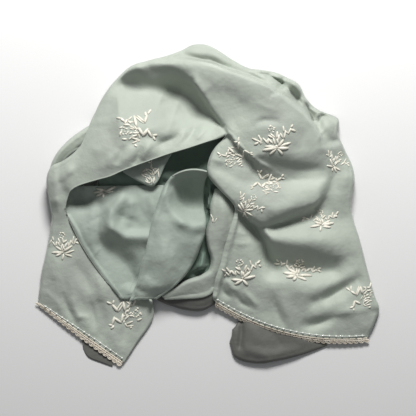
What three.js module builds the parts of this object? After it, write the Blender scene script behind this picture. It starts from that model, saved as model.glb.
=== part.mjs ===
// A long silk shawl, dropped in a loose, twisted heap.
//
// Millimetres, +Z up. The heap lies on z = 0 and its origin is the middle of its box, on the floor.
// Each stretch of cloth that shows is one closed wall. It is lofted through a short table of
// sections, bent by a table of folds, and laid on the stretches that lie under it. The layers that
// nobody sees share one rounded solid, which fills the heap from below.
import * as THREE from "three";

// ---------- Driving sizes ----------
const wall = 1.5; // thickness of a cloth wall
const seam = 0.3; // air between two pieces
const pitch = 15; // spacing of a wall's points, along and across
const cell = 3; // cell of the maps that hold how high the cloth lies
const halfMap = 288; // half the side of those maps
const lipSteps = 2; // points round a folded edge
const lipTurn = 0.62 * Math.PI; // how far a folded edge turns over
const lipReach = 11; // most that a folded edge rounds outwards
const lipSlope = 0.6; // its reach for each millimetre of its drop
const leastDrop = 3; // least drop of a folded edge
const lipWatch = 0.45; // how far round a folded edge the cloth below counts, in pitches
const floorGap = 0.3; // air under an edge that comes down to the floor
const toFloor = 200; // a drop that goes down to whatever lies below
const wallShare = 0.62; // the wall under its middle, on a slope too
const clearRounds = 60; // rounds of lifting a stretch clear of others
const clearEnough = 0.01;
const laceWidth = 9; // lace edging on the two short ends
const laceWall = 1.2;
const laceGap = 1.15; // from a panel's edge to its lace
const laceFall = 0.8; // how far its outer edge falls towards the floor
const scallopPitch = 8; // one scallop of the lace
const scallopDepth = 1.6;

const coreRays = 72; // points round the hidden layers
const coreRings = 9; // rings from their middle to their rim
const coreGap = 0.4; // air between them and the cloth above
const clearAbove = 30; // what counts as room where no cloth lies above
const coreTop = 46; // most that they rise
const coreLeast = 9; // least room under the cloth that they still fill
const coreThin = 4; // least height of their rim
const coreLayers = 3; // layers that show at their rim
const layerNotch = 2.5; // depth of the groove between two layers
const pitDepth = 26; // how far the pit beside the front lobe goes down
const pit = { x: -27, y: 68, width: 34 };

// ---------- Tables ----------
function table(columns, rows) {
  return rows.map((row) => Object.fromEntries(columns.map((name, k) => [name, row[k]])));
}

// A section runs from a left point to a right point. Crown is the rise between them, peak its place
// from 0, left, to 1, right. Bow moves the middle of the section on, along the stretch. A drop is
// how far a folded edge turns down, and 0 is a cut edge.
const SECTION = ["lx", "ly", "lz", "rx", "ry", "rz", "crown", "peak", "bow", "lDrop", "rDrop"];

// A fold follows the line a, b, c. It is a ridge where height is over 0, a trough where it is under.
const FOLD = ["ax", "ay", "bx", "by", "cx", "cy", "width", "height"];

// The end that lies on the floor under the right hem.
const tailUnderHem = {
  sections: table(SECTION, [
    [48, -168, 7, 34, -206, 6, 3, 0.5, 0, 3, toFloor],
    [60, -159, 9, 42, -225, 7, 4, 0.5, 0, 0, toFloor],
    [81, -162, 10, 72, -233, 7, 4, 0.5, 0, 0, toFloor],
    [108, -168, 9, 105, -229, 6, 4, 0.5, 0, 0, toFloor],
    [138, -171, 7, 141, -220, 5, 3, 0.5, 0, 0, toFloor],
    [168, -174, 5, 177, -207, 4, 2, 0.5, 0, 0, toFloor],
  ]),
  folds: table(FOLD, [
    [51, -170, 50, -190, 48, -207, 5, -3],
    [60, -214, 90, -222, 130, -214, 9, 2],
  ]),
  startDrop: toFloor,
  endDrop: 2,
};

// The lowest crescent at the front of the heap.
const frontCrescent = {
  sections: table(SECTION, [
    [-78, -121, 12, -80, -136, 8, 2, 0.5, 0, 0, toFloor],
    [-57, -118, 14, -60, -145, 9, 3, 0.5, 0, 0, toFloor],
    [-27, -115, 15, -33, -153, 10, 4, 0.5, 0, 0, toFloor],
    [0, -115, 15, -9, -154, 10, 4, 0.5, 0, 0, toFloor],
    [21, -115, 14, 9, -145, 9, 3, 0.5, 0, 0, toFloor],
    [36, -120, 12, 25, -137, 8, 2, 0.5, 0, 0, toFloor],
  ]),
  folds: [],
  startDrop: 5,
  endDrop: 5,
};

// The small turned-under corner below the left hem.
const turnedCorner = {
  sections: table(SECTION, [
    [-190, -188, 1.5, -187, -211, 1.2, 0.5, 0.5, 0, 0, 0],
    [-176, -194, 1.8, -179, -224, 1.2, 0.6, 0.5, 0, 0, 0],
    [-160, -206, 1.8, -160, -232, 1.2, 0.6, 0.5, 0, 0, 0],
    [-145, -219, 1.5, -143, -238, 1.2, 0.5, 0.5, 0, 0, 0],
  ]),
  folds: [],
  startDrop: 0,
  endDrop: 0,
};

// The left end of the shawl, from where it leaves the band on the left down to its hem.
const leftPanel = {
  sections: table(SECTION, [
    [-234, -12, 25, -211, -16, 25, 4, 0.5, 0, toFloor, 0],
    [-235, -25, 23, -186, -30, 19, 5, 0.5, 0, toFloor, 0],
    [-237, -40, 21, -150, -48, 13, 5, 0.5, 0, toFloor, 0],
    [-243, -70, 17, -104, -98, 10, 5, 0.5, 0, toFloor, 3],
    [-249, -96, 14, -84, -136, 9, 5, 0.5, 0, toFloor, 6],
    [-251, -114, 12, -83, -166, 8, 5, 0.45, 0, toFloor, 6],
    [-253, -129, 9.5, -106, -201, 7, 4, 0.45, 0, toFloor, 5],
    [-254, -142, 6, -126, -232, 5.5, 2.5, 0.45, 0, 4, 3],
  ]),
  folds: table(FOLD, [
    [-165, -145, -158, -165, -160, -190, 9, -3],
    [-196, -165, -180, -172, -172, -182, 9, 2.5],
    [-215, -95, -190, -120, -150, -120, 22, 2.5],
    [-128, -165, -122, -190, -128, -212, 10, 2],
  ]),
  startDrop: 0,
  endDrop: 0,
};

// The band at the back of the left side, behind the flap.
const backBand = {
  sections: table(SECTION, [
    [-172, 127, 34, -160, 96, 26, 3, 0.3, 0, toFloor, 5],
    [-192, 114, 32, -180, 89, 24, 3, 0.3, 0, toFloor, 8],
    [-208, 102, 30, -195, 84, 22, 3, 0.3, 0, toFloor, 9],
    [-225, 84, 28, -209, 74, 20, 3, 0.3, 0, toFloor, 9],
    [-235, 65, 24, -217, 60, 17, 2, 0.3, 0, toFloor, 7],
    [-239, 46, 19, -221, 43, 14, 2, 0.3, 0, toFloor, 5],
  ]),
  folds: [],
  startDrop: 4,
  endDrop: 3,
};

// Three crumpled turns behind the right side.
const rearCrumple = {
  sections: table(SECTION, [
    [63, 186, 46, 60, 209, 30, 3, 0.5, 0, 3, toFloor],
    [81, 174, 49, 87, 204, 32, 4, 0.5, 0, 3, toFloor],
    [99, 162, 49, 113, 199, 34, 5, 0.6, 0, 3, toFloor],
    [115, 147, 48, 135, 184, 34, 5, 0.6, 0, 3, toFloor],
    [130, 133, 46, 144, 165, 32, 4, 0.6, 0, 3, toFloor],
    [143, 118, 42, 150, 146, 28, 3, 0.6, 0, 3, toFloor],
  ]),
  folds: table(FOLD, [
    [84, 194, 96, 186, 106, 178, 6, -9],
    [112, 192, 113, 184, 106, 177, 4, -6],
    [122, 190, 132, 168, 140, 146, 6, 3],
  ]),
  startDrop: 4,
  endDrop: 4,
};

const rearPleat = {
  sections: table(SECTION, [
    [128, 158, 34, 143, 168, 25, 3, 0.6, 0, 3, toFloor],
    [142, 137, 38, 157, 154, 28, 4, 0.6, 0, 3, toFloor],
    [151, 117, 39, 169, 143, 28, 4, 0.6, 0, 3, toFloor],
    [158, 99, 38, 177, 124, 28, 4, 0.6, 0, 3, toFloor],
  ]),
  folds: table(FOLD, [[148, 152, 152, 140, 156, 130, 3.5, -7]]),
  startDrop: 4,
  endDrop: 3,
};

const rearCorner = {
  sections: table(SECTION, [
    [162, 134, 32, 184, 143, 26, 3, 0.6, 0, 3, toFloor],
    [158, 117, 39, 195, 132, 27, 4, 0.6, 0, 3, toFloor],
    [160, 99, 41, 193, 110, 28, 4, 0.6, 0, 3, toFloor],
    [165, 79, 40, 202, 95, 27, 3, 0.6, 0, 3, toFloor],
  ]),
  folds: table(FOLD, [
    [173, 138, 182, 136, 193, 133, 3.5, -6],
    [168, 126, 172, 112, 170, 98, 4, -3],
  ]),
  startDrop: toFloor,
  endDrop: 4,
};

// The slack pouch below the flap, which lies over the left panel.
const pouch = {
  sections: table(SECTION, [
    [-204, 33, 22, -66, 34, 38, 2, 0.5, 0, 0, 3],
    [-217, 13, 21, -63, 15, 42, 2, 0.6, 0, 0, 3],
    [-209, -11, 24, -67, -6, 42, 1, 0.6, 0, 2, 3],
    [-200, -32, 27, -72, -30, 38, -1, 0.5, 0, 8, 3],
    [-186, -59, 26, -78, -57, 34, -3, 0.5, 0, 9, 3],
    [-168, -87, 24, -87, -84, 29, -3, 0.5, 0, 9, 3],
    [-150, -111, 22, -96, -108, 24, -2, 0.5, 0, 9, 3],
    [-134, -131, 18, -111, -130, 19, 1, 0.5, 0, 8, 3],
  ]),
  folds: table(FOLD, [
    [-196, 16, -185, 8, -172, 14, 13, -8],
    [-126, 14, -142, -8, -140, -30, 10, 6],
    [-140, -30, -120, -42, -88, -44, 10, 7],
    [-150, -60, -129, -86, -122, -104, 17, -13],
    [-114, 6, -116, -8, -118, -20, 8, 3],
  ]),
  startDrop: 0,
  endDrop: toFloor,
};

// The roll beside the front lobe, which curls round under it at the front.
const sideRoll = {
  sections: table(SECTION, [
    [9, 24, 46, 28, 25, 44, 5, 0.5, 0, 8, 4],
    [4, 5, 47, 38, 4, 44, 7, 0.45, 0, 12, 4],
    [3, -15, 44, 40, -21, 42, 7, 0.4, 0, 12, 4],
    [-3, -36, 40, 38, -42, 38, 7, 0.4, 0, 14, 3],
    [-1, -57, 36, 34, -63, 28, 7, 0.4, 0, 16, 3],
    [4, -76, 32, 28, -83, 24, 6, 0.4, 0, 16, 3],
    [1, -92, 28, 22, -104, 20, 6, 0.4, 0, 14, 3],
    [-14, -101, 27, 12, -122, 18, 5, 0.35, 0, 12, 5],
    [-33, -108, 26, -6, -133, 18, 4, 0.3, 0, 10, toFloor],
    [-50, -118, 24, -38, -136, 18, 3, 0.35, 0, 6, toFloor],
    [-68, -128, 21, -62, -137, 18, 2, 0.5, 0, 4, toFloor],
  ]),
  folds: [],
  startDrop: 8,
  endDrop: 4,
};

// The front lobe, with a bowl behind its crescent ridge.
const frontLobe = {
  sections: table(SECTION, [
    [-57, 44, 55, 2, 52, 52, 8, 0.5, -8, 8, 4],
    [-66, 31, 57, 4, 40, 40, -4, 0.4, -4, 14, 3],
    [-72, 16, 59, 5, 20, 30, -6, 0.4, 0, 18, 3],
    [-78, -2, 58, 5, 0, 33, -4, 0.4, 0, 18, 3],
    [-84, -21, 55, 2, -19, 48, 1, 0.5, 0, 16, 12],
    [-88, -42, 50, -6, -42, 46, 5, 0.5, 0, 14, 14],
    [-93, -63, 46, -12, -60, 42, 7, 0.5, 0, 12, 14],
    [-99, -84, 40, -19, -78, 37, 8, 0.5, 0, 12, 12],
    [-104, -105, 33, -31, -97, 33, 8, 0.5, 0, 12, 10],
    [-110, -121, 27, -49, -116, 28, 7, 0.5, 0, 10, 8],
    [-115, -133, 21, -72, -133, 21, 4, 0.5, 0, 8, 8],
  ]),
  folds: table(FOLD, [
    [-28, 30, -26, 16, -22, 2, 18, -15],
    [-62, 24, -56, 0, -38, -20, 10, 5],
    [-38, -20, -20, -29, -4, -24, 10, 6],
    [-66, -78, -60, -96, -62, -112, 16, 3],
  ]),
  startDrop: 14,
  endDrop: toFloor,
};

// The right end of the shawl, from the back of the heap down to its hem.
const rightPanel = {
  sections: table(SECTION, [
    [171, 82, 33, 202, 99, 27, 2, 0.5, 0, 3, toFloor],
    [156, 62, 38, 213, 72, 26, 5, 0.5, 0, 3, toFloor],
    [135, 39, 41, 219, 42, 26, 6, 0.5, 0, 3, toFloor],
    [96, 18, 43, 216, 17, 26, 6, 0.5, 0, 3, toFloor],
    [44, 4, 46, 214, -6, 24, 4, 0.5, 0, 5, toFloor],
    [34, -27, 43, 223, -36, 23, 8, 0.5, 0, 12, toFloor],
    [26, -60, 38, 232, -69, 21, 6, 0.5, 0, 14, toFloor],
    [17, -90, 31, 241, -100, 19, 4, 0.5, 2, 12, toFloor],
    [10, -113, 23, 250, -133, 17, 6, 0.5, 6, 10, toFloor],
    [7, -127, 16, 256, -154, 14, 7, 0.5, 12, 8, toFloor],
    [9, -137, 11, 240, -194, 7, 4, 0.5, 21, 5, 3],
  ]),
  folds: table(FOLD, [
    [60, -16, 80, -52, 97, -92, 13, -15],
    [92, -40, 135, -48, 190, -52, 20, 9],
    [100, -74, 140, -86, 185, -92, 17, -12],
    [104, -112, 160, -122, 215, -112, 20, 5],
    [158, -140, 190, -124, 222, -108, 9, -6],
    [146, -174, 168, -170, 186, -162, 8, -4],
    [200, -144, 214, -158, 232, -176, 10, 3],
    [100, -26, 130, -16, 158, -6, 9, -6],
    [216, 56, 204, 34, 200, 4, 14, 4],
  ]),
  startDrop: 6,
  endDrop: 0,
};

// The bulging fold below the front fold.
const bulge = {
  sections: table(SECTION, [
    [24, 106, 60, 66, 104, 52, 4, 0.4, 0, 16, 3],
    [8, 87, 62, 68, 92, 52, 5, 0.35, 0, 18, 3],
    [-1, 62, 62, 71, 80, 52, 6, 0.35, 0, 18, 3],
    [4, 41, 62, 76, 73, 51, 7, 0.3, 0, 18, 3],
    [26, 19, 60, 83, 71, 51, 8, 0.3, 0, 14, 3],
    [47, -3, 58, 92, 71, 52, 8, 0.3, 0, 12, 3],
    [70, -23, 55, 103, 71, 52, 8, 0.3, 0, 9, 3],
    [101, -22, 55, 115, 73, 53, 7, 0.3, 0, 9, 3],
    [126, -13, 54, 126, 76, 53, 8, 0.3, 0, 11, 3],
    [148, -3, 53, 138, 79, 52, 8, 0.32, 0, 12, 3],
    [166, 12, 52, 147, 83, 50, 8, 0.35, 0, 14, 3],
    [177, 36, 49, 154, 90, 48, 7, 0.4, 0, 14, 3],
    [177, 63, 46, 158, 98, 46, 5, 0.4, 0, 12, 3],
  ]),
  folds: table(FOLD, [
    [78, 56, 115, 46, 160, 50, 15, -7],
    [16, 58, 50, 38, 84, 36, 9, -3],
  ]),
  startDrop: 6,
  endDrop: 5,
};

// The small band that shows between the flap and the pouch.
const smallBand = {
  sections: table(SECTION, [
    [-130, 66, 46, -124, 52, 45, 1, 0.5, 0, 0, 3],
    [-102, 77, 49, -102, 39, 47, 2, 0.5, 0, 0, 7],
    [-82, 84, 51, -84, 32, 49, 3, 0.5, 0, 0, 6],
    [-66, 88, 52, -74, 40, 51, 3, 0.5, 0, 0, 5],
    [-52, 90, 52, -66, 58, 51, 2, 0.5, 0, 0, 4],
  ]),
  folds: [],
  startDrop: 2,
  endDrop: 8,
};

// The flap at the top left, with a cut long edge, which narrows into the band on the left.
const leftFlap = {
  sections: table(SECTION, [
    [38, 130, 66, 44, 112, 69, 1, 0.5, 0, 0, 0],
    [15, 156, 62, 12, 102, 71, -1, 0.5, 0, 0, 0],
    [-8, 186, 55, -20, 90, 72, -2, 0.4, 0, 0, 0],
    [-32, 216, 47, -54, 81, 72, 2, 0.6, 0, 4, 0],
    [-57, 228, 58, -80, 72, 71, 9, 0.6, 0, toFloor, 0],
    [-87, 220, 60, -105, 63, 69, 11, 0.6, 0, toFloor, 0],
    [-115, 211, 54, -126, 55, 67, 13, 0.6, 0, toFloor, 0],
    [-139, 190, 44, -144, 47, 63, 12, 0.6, 0, toFloor, 0],
    [-159, 162, 40, -162, 42, 59, 12, 0.55, 0, toFloor, 0],
    [-175, 126, 42, -180, 37, 55, 9, 0.5, 0, toFloor, 0],
    [-189, 93, 42, -194, 32, 52, 6, 0.5, 0, 12, 0],
    [-213, 72, 37, -203, 26, 47, 5, 0.5, 0, 8, 0],
    [-234, 61, 33, -207, 19, 41, 5, 0.5, 0, toFloor, 0],
    [-241, 40, 31, -211, 6, 36, 5, 0.5, 0, toFloor, 0],
    [-238, 14, 28, -211, -8, 31, 5, 0.5, 0, toFloor, 0],
    [-234.2, -11.4, 25, -211.2, -15.4, 26, 4, 0.5, 0, toFloor, 0],
  ]),
  folds: table(FOLD, [
    [-122, 184, -90, 182, -56, 178, 17, -18],
    [-56, 178, -22, 162, 12, 130, 16, -15],
    [-150, 60, -118, 76, -84, 86, 11, 3],
    [-68, 98, -92, 106, -112, 96, 7, -3],
    [-40, 106, -20, 116, 2, 112, 8, -2.5],
    [-205, 56, -225, 40, -226, 10, 7, 3],
  ]),
  startDrop: 0,
  endDrop: 0,
};

// The layer at the back of the heap, behind the front fold.
const backLayer = {
  sections: table(SECTION, [
    [-54, 211, 50, -60, 228, 42, 2, 0.5, 0, 0, toFloor],
    [-28, 196, 58, -36, 237, 42, 5, 0.5, 0, 0, toFloor],
    [-2, 188, 61, -18, 244, 42, 7, 0.5, 0, 0, toFloor],
    [25, 179, 60, 6, 240, 42, 7, 0.5, 0, 0, toFloor],
    [49, 170, 58, 33, 225, 41, 7, 0.5, 0, 0, toFloor],
    [70, 161, 56, 58, 208, 41, 6, 0.5, 0, 0, toFloor],
    [88, 152, 54, 81, 196, 42, 5, 0.5, 0, 0, 14],
    [106, 141, 53, 104, 180, 43, 4, 0.5, 0, 0, 10],
    [122, 130, 52, 122, 160, 44, 3, 0.5, 0, 0, 8],
  ]),
  folds: table(FOLD, [[-30, 226, 10, 224, 60, 190, 9, 2]]),
  startDrop: 0,
  endDrop: 0,
};

// The fold that lies on top of everything.
const frontFold = {
  sections: table(SECTION, [
    [-70, 214, 60, -60, 222, 56, 1, 0.5, 0, 2, 2],
    [-42, 208, 70, -29, 218, 66, 3, 0.5, 0, 6, 4],
    [-23, 186, 74, 1, 213, 72, 4, 0.55, 0, 10, 8],
    [-8, 163, 77, 31, 203, 76, 5, 0.6, 0, 12, 12],
    [8, 141, 79, 61, 192, 77, 6, 0.6, 0, 13, 14],
    [24, 120, 80, 90, 180, 76, 6, 0.6, 0, 13, 14],
    [42, 96, 80, 123, 159, 72, 7, 0.55, 0, 13, 14],
    [61, 77, 79, 154, 126, 66, 8, 0.5, 0, 13, 13],
    [80, 63, 76, 175, 87, 58, 9, 0.45, 0, 12, 11],
    [94, 57, 74, 171, 62, 56, 7, 0.5, 0, 9, 8],
  ]),
  folds: table(FOLD, [
    [2, 170, 40, 152, 84, 132, 15, -12],
    [36, 112, 70, 118, 120, 122, 14, 3],
  ]),
  startDrop: 1.5,
  endDrop: 13,
};

// The stretches from the bottom of the heap to its top. Over names those that a stretch runs on
// from, so that it isn't lifted over them.
const STRETCHES = [
  { name: "tail_under_hem", shape: tailUnderHem, beside: [] },
  { name: "front_crescent", shape: frontCrescent, beside: [] },
  { name: "turned_corner", shape: turnedCorner, beside: [] },
  { name: "left_panel", shape: leftPanel, beside: [] },
  { name: "back_band", shape: backBand, beside: [] },
  { name: "rear_crumple", shape: rearCrumple, beside: [] },
  { name: "rear_pleat", shape: rearPleat, beside: [] },
  { name: "rear_corner", shape: rearCorner, beside: [] },
  { name: "pouch", shape: pouch, beside: [] },
  { name: "side_roll", shape: sideRoll, beside: [] },
  { name: "front_lobe", shape: frontLobe, beside: [] },
  { name: "right_panel", shape: rightPanel, beside: [] },
  { name: "bulge", shape: bulge, beside: [] },
  { name: "small_band", shape: smallBand, beside: [] },
  { name: "left_flap", shape: leftFlap, beside: ["left_panel"] },
  { name: "back_layer", shape: backLayer, beside: [] },
  { name: "front_fold", shape: frontFold, beside: [] },
];

// ---------- Materials ----------
function silk(shade) {
  return new THREE.MeshStandardMaterial({ color: shade, roughness: 0.45, metalness: 0 });
}

function lace() {
  return new THREE.MeshStandardMaterial({ color: 0xc9bb9e, roughness: 0.8, metalness: 0 });
}

// ---------- Maps of how high the cloth lies ----------
const mapSide = Math.round((2 * halfMap) / cell);

function emptyMap(value) {
  return new Float32Array(mapSide * mapSide).fill(value);
}

function cellAt(x, y) {
  const column = Math.min(mapSide - 1, Math.max(0, Math.floor((x + halfMap) / cell)));
  const row = Math.min(mapSide - 1, Math.max(0, Math.floor((y + halfMap) / cell)));
  return row * mapSide + column;
}

// Calls visit(x, y, z, a, b, c) at points spread over a triangle, with its three weights.
function spreadOver(p, q, r, visit) {
  const longest = Math.max(p.distanceTo(q), q.distanceTo(r), r.distanceTo(p));
  const count = Math.max(1, Math.ceil(longest / (cell * 0.5)));
  for (let i = 0; i <= count; i += 1) {
    for (let j = 0; j <= count - i; j += 1) {
      const b = i / count;
      const c = j / count;
      const a = 1 - b - c;
      visit(a * p.x + b * q.x + c * r.x, a * p.y + b * q.y + c * r.y, a * p.z + b * q.z + c * r.z, a, b, c);
    }
  }
}

// The highest value of a map within a reach of each cell.
function widened(map, reach) {
  const wide = emptyMap(0);
  const cells = Math.ceil(reach / cell);
  for (let row = 0; row < mapSide; row += 1) {
    for (let column = 0; column < mapSide; column += 1) {
      let best = 0;
      for (let dr = -cells; dr <= cells; dr += 1) {
        for (let dc = -cells; dc <= cells; dc += 1) {
          const inside = row + dr >= 0 && row + dr < mapSide && column + dc >= 0 && column + dc < mapSide;
          if (inside && dr * dr + dc * dc <= cells * cells) {
            best = Math.max(best, map[(row + dr) * mapSide + column + dc]);
          }
        }
      }
      wide[row * mapSide + column] = best;
    }
  }
  return wide;
}

// The lowest value of a map within a reach of each cell.
function narrowed(map, reach) {
  return widened(map.map((value) => coreTop + clearAbove - value), reach).map((value) => coreTop + clearAbove - value);
}

// ---------- One stretch ----------
function mix(a, b, t) {
  return a + (b - a) * t;
}

// A smooth value between the rows of a table.
function smooth(rows, name, u) {
  const k = Math.min(rows.length - 2, Math.floor(u));
  const t = u - k;
  const p0 = rows[Math.max(0, k - 1)][name];
  const p1 = rows[k][name];
  const p2 = rows[k + 1][name];
  const p3 = rows[Math.min(rows.length - 1, k + 2)][name];
  const bend = (p2 - p0) * t + (2 * p0 - 5 * p1 + 4 * p2 - p3) * t * t + (3 * p1 - p0 - 3 * p2 + p3) * t ** 3;
  return p1 + 0.5 * bend;
}

function plain(rows, name, u) {
  const k = Math.min(rows.length - 2, Math.floor(u));
  return mix(rows[k][name], rows[k + 1][name], u - k);
}

function sectionAt(rows, u) {
  const section = {};
  for (const name of SECTION) {
    const isDrop = name === "lDrop" || name === "rDrop";
    section[name] = isDrop ? plain(rows, name, u) : smooth(rows, name, u);
  }
  return section;
}

// Places along the table, spaced evenly over the cloth.
function placesAlong(rows) {
  const far = [0];
  for (let k = 1; k < rows.length; k += 1) {
    const a = rows[k - 1];
    const b = rows[k];
    const left = Math.hypot(b.lx - a.lx, b.ly - a.ly);
    const right = Math.hypot(b.rx - a.rx, b.ry - a.ry);
    far.push(far[k - 1] + Math.max(left, right) * 0.6 + Math.min(left, right) * 0.4);
  }
  const total = far[far.length - 1];
  const count = Math.max(3, Math.round(total / pitch));
  const places = [];
  for (let i = 0; i <= count; i += 1) {
    const target = (total * i) / count;
    let k = 1;
    while (k < far.length - 1 && far[k] < target) k += 1;
    places.push(k - 1 + (target - far[k - 1]) / (far[k] - far[k - 1]));
  }
  return places;
}

function distanceToLine(x, y, ax, ay, bx, by) {
  const along = ((x - ax) * (bx - ax) + (y - ay) * (by - ay)) / ((bx - ax) ** 2 + (by - ay) ** 2);
  const t = Math.min(1, Math.max(0, along));
  return Math.hypot(x - mix(ax, bx, t), y - mix(ay, by, t));
}

function foldRise(folds, x, y) {
  let rise = 0;
  for (const f of folds) {
    const first = distanceToLine(x, y, f.ax, f.ay, f.bx, f.by);
    const second = distanceToLine(x, y, f.bx, f.by, f.cx, f.cy);
    rise += f.height * Math.exp(-((Math.min(first, second) / f.width) ** 2));
  }
  return rise;
}

function reachOf(drop, room) {
  return Math.min(lipReach, drop * lipSlope, room);
}

// The middle of the wall, without its folded edges, as rows of points.
function middleOf(shape, sections, across) {
  return sections.map((s) => {
    const chord = new THREE.Vector2(s.rx - s.lx, s.ry - s.ly);
    const width = chord.length();
    const way = chord.clone().divideScalar(width);
    const from = reachOf(s.lDrop, width * 0.3);
    const to = width - reachOf(s.rDrop, width * 0.3);
    const power = Math.log(0.5) / Math.log(s.peak);
    const row = [];
    for (let j = 0; j <= across; j += 1) {
      const far = mix(from, to, j / across);
      const v = far / width;
      const bow = s.bow * 4 * v * (1 - v);
      const x = s.lx + way.x * far + way.y * bow;
      const y = s.ly + way.y * far - way.x * bow;
      const z = mix(s.lz, s.rz, v) + s.crown * Math.sin(Math.PI * v ** power);
      row.push(new THREE.Vector3(x, y, z + foldRise(shape.folds, x, y)));
    }
    return row;
  });
}

// Moves the corners of triangles up until they clear what is below. With a way of -1 it moves them
// down until they clear what is above.
function moveClear(triangles, map, clear, way) {
  for (let round = 0; round < clearRounds; round += 1) {
    let worst = 0;
    for (const [p, q, r] of triangles) {
      const move = [0, 0, 0];
      spreadOver(p, q, r, (x, y, z, a, b, c) => {
        const short = way * (map[cellAt(x, y)] - z) + clear;
        if (short <= clearEnough) return;
        const share = short / (a * a + b * b + c * c);
        worst = Math.max(worst, short);
        move[0] = Math.max(move[0], share * a);
        move[1] = Math.max(move[1], share * b);
        move[2] = Math.max(move[2], share * c);
      });
      p.z += way * move[0];
      q.z += way * move[1];
      r.z += way * move[2];
    }
    if (worst < 2 * clearEnough) return;
  }
}

function liftClear(grid, below, thickness) {
  const triangles = [];
  for (let i = 0; i + 1 < grid.length; i += 1) {
    for (let j = 0; j + 1 < grid[i].length; j += 1) {
      triangles.push([grid[i][j], grid[i + 1][j], grid[i + 1][j + 1]]);
      triangles.push([grid[i][j], grid[i + 1][j + 1], grid[i][j + 1]]);
    }
  }
  moveClear(triangles, below, seam + thickness * wallShare, 1);
}

// A folded edge: it rounds outwards from an edge point, turns down and tucks in a little.
function lipPoints(edge, out, wanted, room, belowWide) {
  const reach = reachOf(wanted, room);
  const tip = edge.clone().addScaledVector(out, reach);
  const floor = Math.max(floorGap, belowWide[cellAt(tip.x, tip.y)] + seam, belowWide[cellAt(edge.x, edge.y)] + seam);
  const least = Math.min(leastDrop, wanted);
  edge.z = Math.max(edge.z, floor + least);
  const drop = Math.min(wanted, edge.z - floor);
  const points = [];
  for (let k = 1; k <= lipSteps; k += 1) {
    const turn = (lipTurn * k) / lipSteps;
    const down = (drop * (1 - Math.cos(turn))) / (1 - Math.cos(lipTurn));
    const point = edge.clone().addScaledVector(out, reach * Math.sin(turn));
    point.z = edge.z - down;
    points.push(point);
  }
  return points;
}

function outwards(inner, edge) {
  return new THREE.Vector3(edge.x - inner.x, edge.y - inner.y, 0).normalize();
}

// Adds the folded edges on the left and right of each row.
function withSideLips(grid, sections, belowWide) {
  return grid.map((row, i) => {
    const s = sections[i];
    const width = Math.hypot(s.rx - s.lx, s.ry - s.ly);
    const last = row.length - 1;
    const left = lipPoints(row[0], outwards(row[1], row[0]), s.lDrop, width * 0.3, belowWide);
    const right = lipPoints(row[last], outwards(row[last - 1], row[last]), s.rDrop, width * 0.3, belowWide);
    return [...left.reverse(), ...row, ...right];
  });
}

// Adds a folded edge beyond the last row of a grid.
function withEndLip(grid, wanted, belowWide) {
  const last = grid[grid.length - 1];
  const before = grid[grid.length - 2];
  const columns = last.map((edge, j) => {
    const lips = lipPoints(edge.clone(), outwards(before[j], edge), wanted, pitch * 0.6, belowWide);
    return lips.map((point) => {
      point.z = Math.min(point.z, edge.z);
      return point;
    });
  });
  const rows = [];
  for (let k = 0; k < lipSteps; k += 1) rows.push(columns.map((column) => column[k]));
  return [...grid, ...rows];
}

function hasSideLips(shape) {
  return {
    left: shape.sections.some((s) => s.lDrop > 0),
    right: shape.sections.some((s) => s.rDrop > 0),
  };
}

// The grid of a whole stretch, laid on what is below.
function layStretch(shape, below) {
  const sections = placesAlong(shape.sections).map((u) => sectionAt(shape.sections, u));
  const widths = sections.map((s) => Math.hypot(s.rx - s.lx, s.ry - s.ly));
  const across = Math.max(3, Math.round(Math.max(...widths) / pitch));
  let grid = middleOf(shape, sections, across);
  const tight = widened(below, cell);
  const wide = widened(below, pitch * lipWatch);
  liftClear(grid, tight, wall);
  const sides = hasSideLips(shape);
  grid = withSideLips(grid, sections, wide);
  if (!sides.left) grid = grid.map((row) => row.slice(lipSteps));
  if (!sides.right) grid = grid.map((row) => row.slice(0, row.length - lipSteps));
  if (shape.endDrop > 0) grid = withEndLip(grid, shape.endDrop, wide);
  if (shape.startDrop > 0) grid = withEndLip(grid.reverse(), shape.startDrop, wide).reverse();
  return grid;
}

// ---------- Walls from grids ----------
function normalsOf(grid) {
  return grid.map((row, i) =>
    row.map((point, j) => {
      const up = grid[Math.min(grid.length - 1, i + 1)][j].clone().sub(grid[Math.max(0, i - 1)][j]);
      const over = row[Math.min(row.length - 1, j + 1)].clone().sub(row[Math.max(0, j - 1)]);
      const normal = over.cross(up);
      return normal.lengthSq() < 1e-6 ? new THREE.Vector3(0, 0, 1) : normal.normalize();
    }),
  );
}

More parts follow.
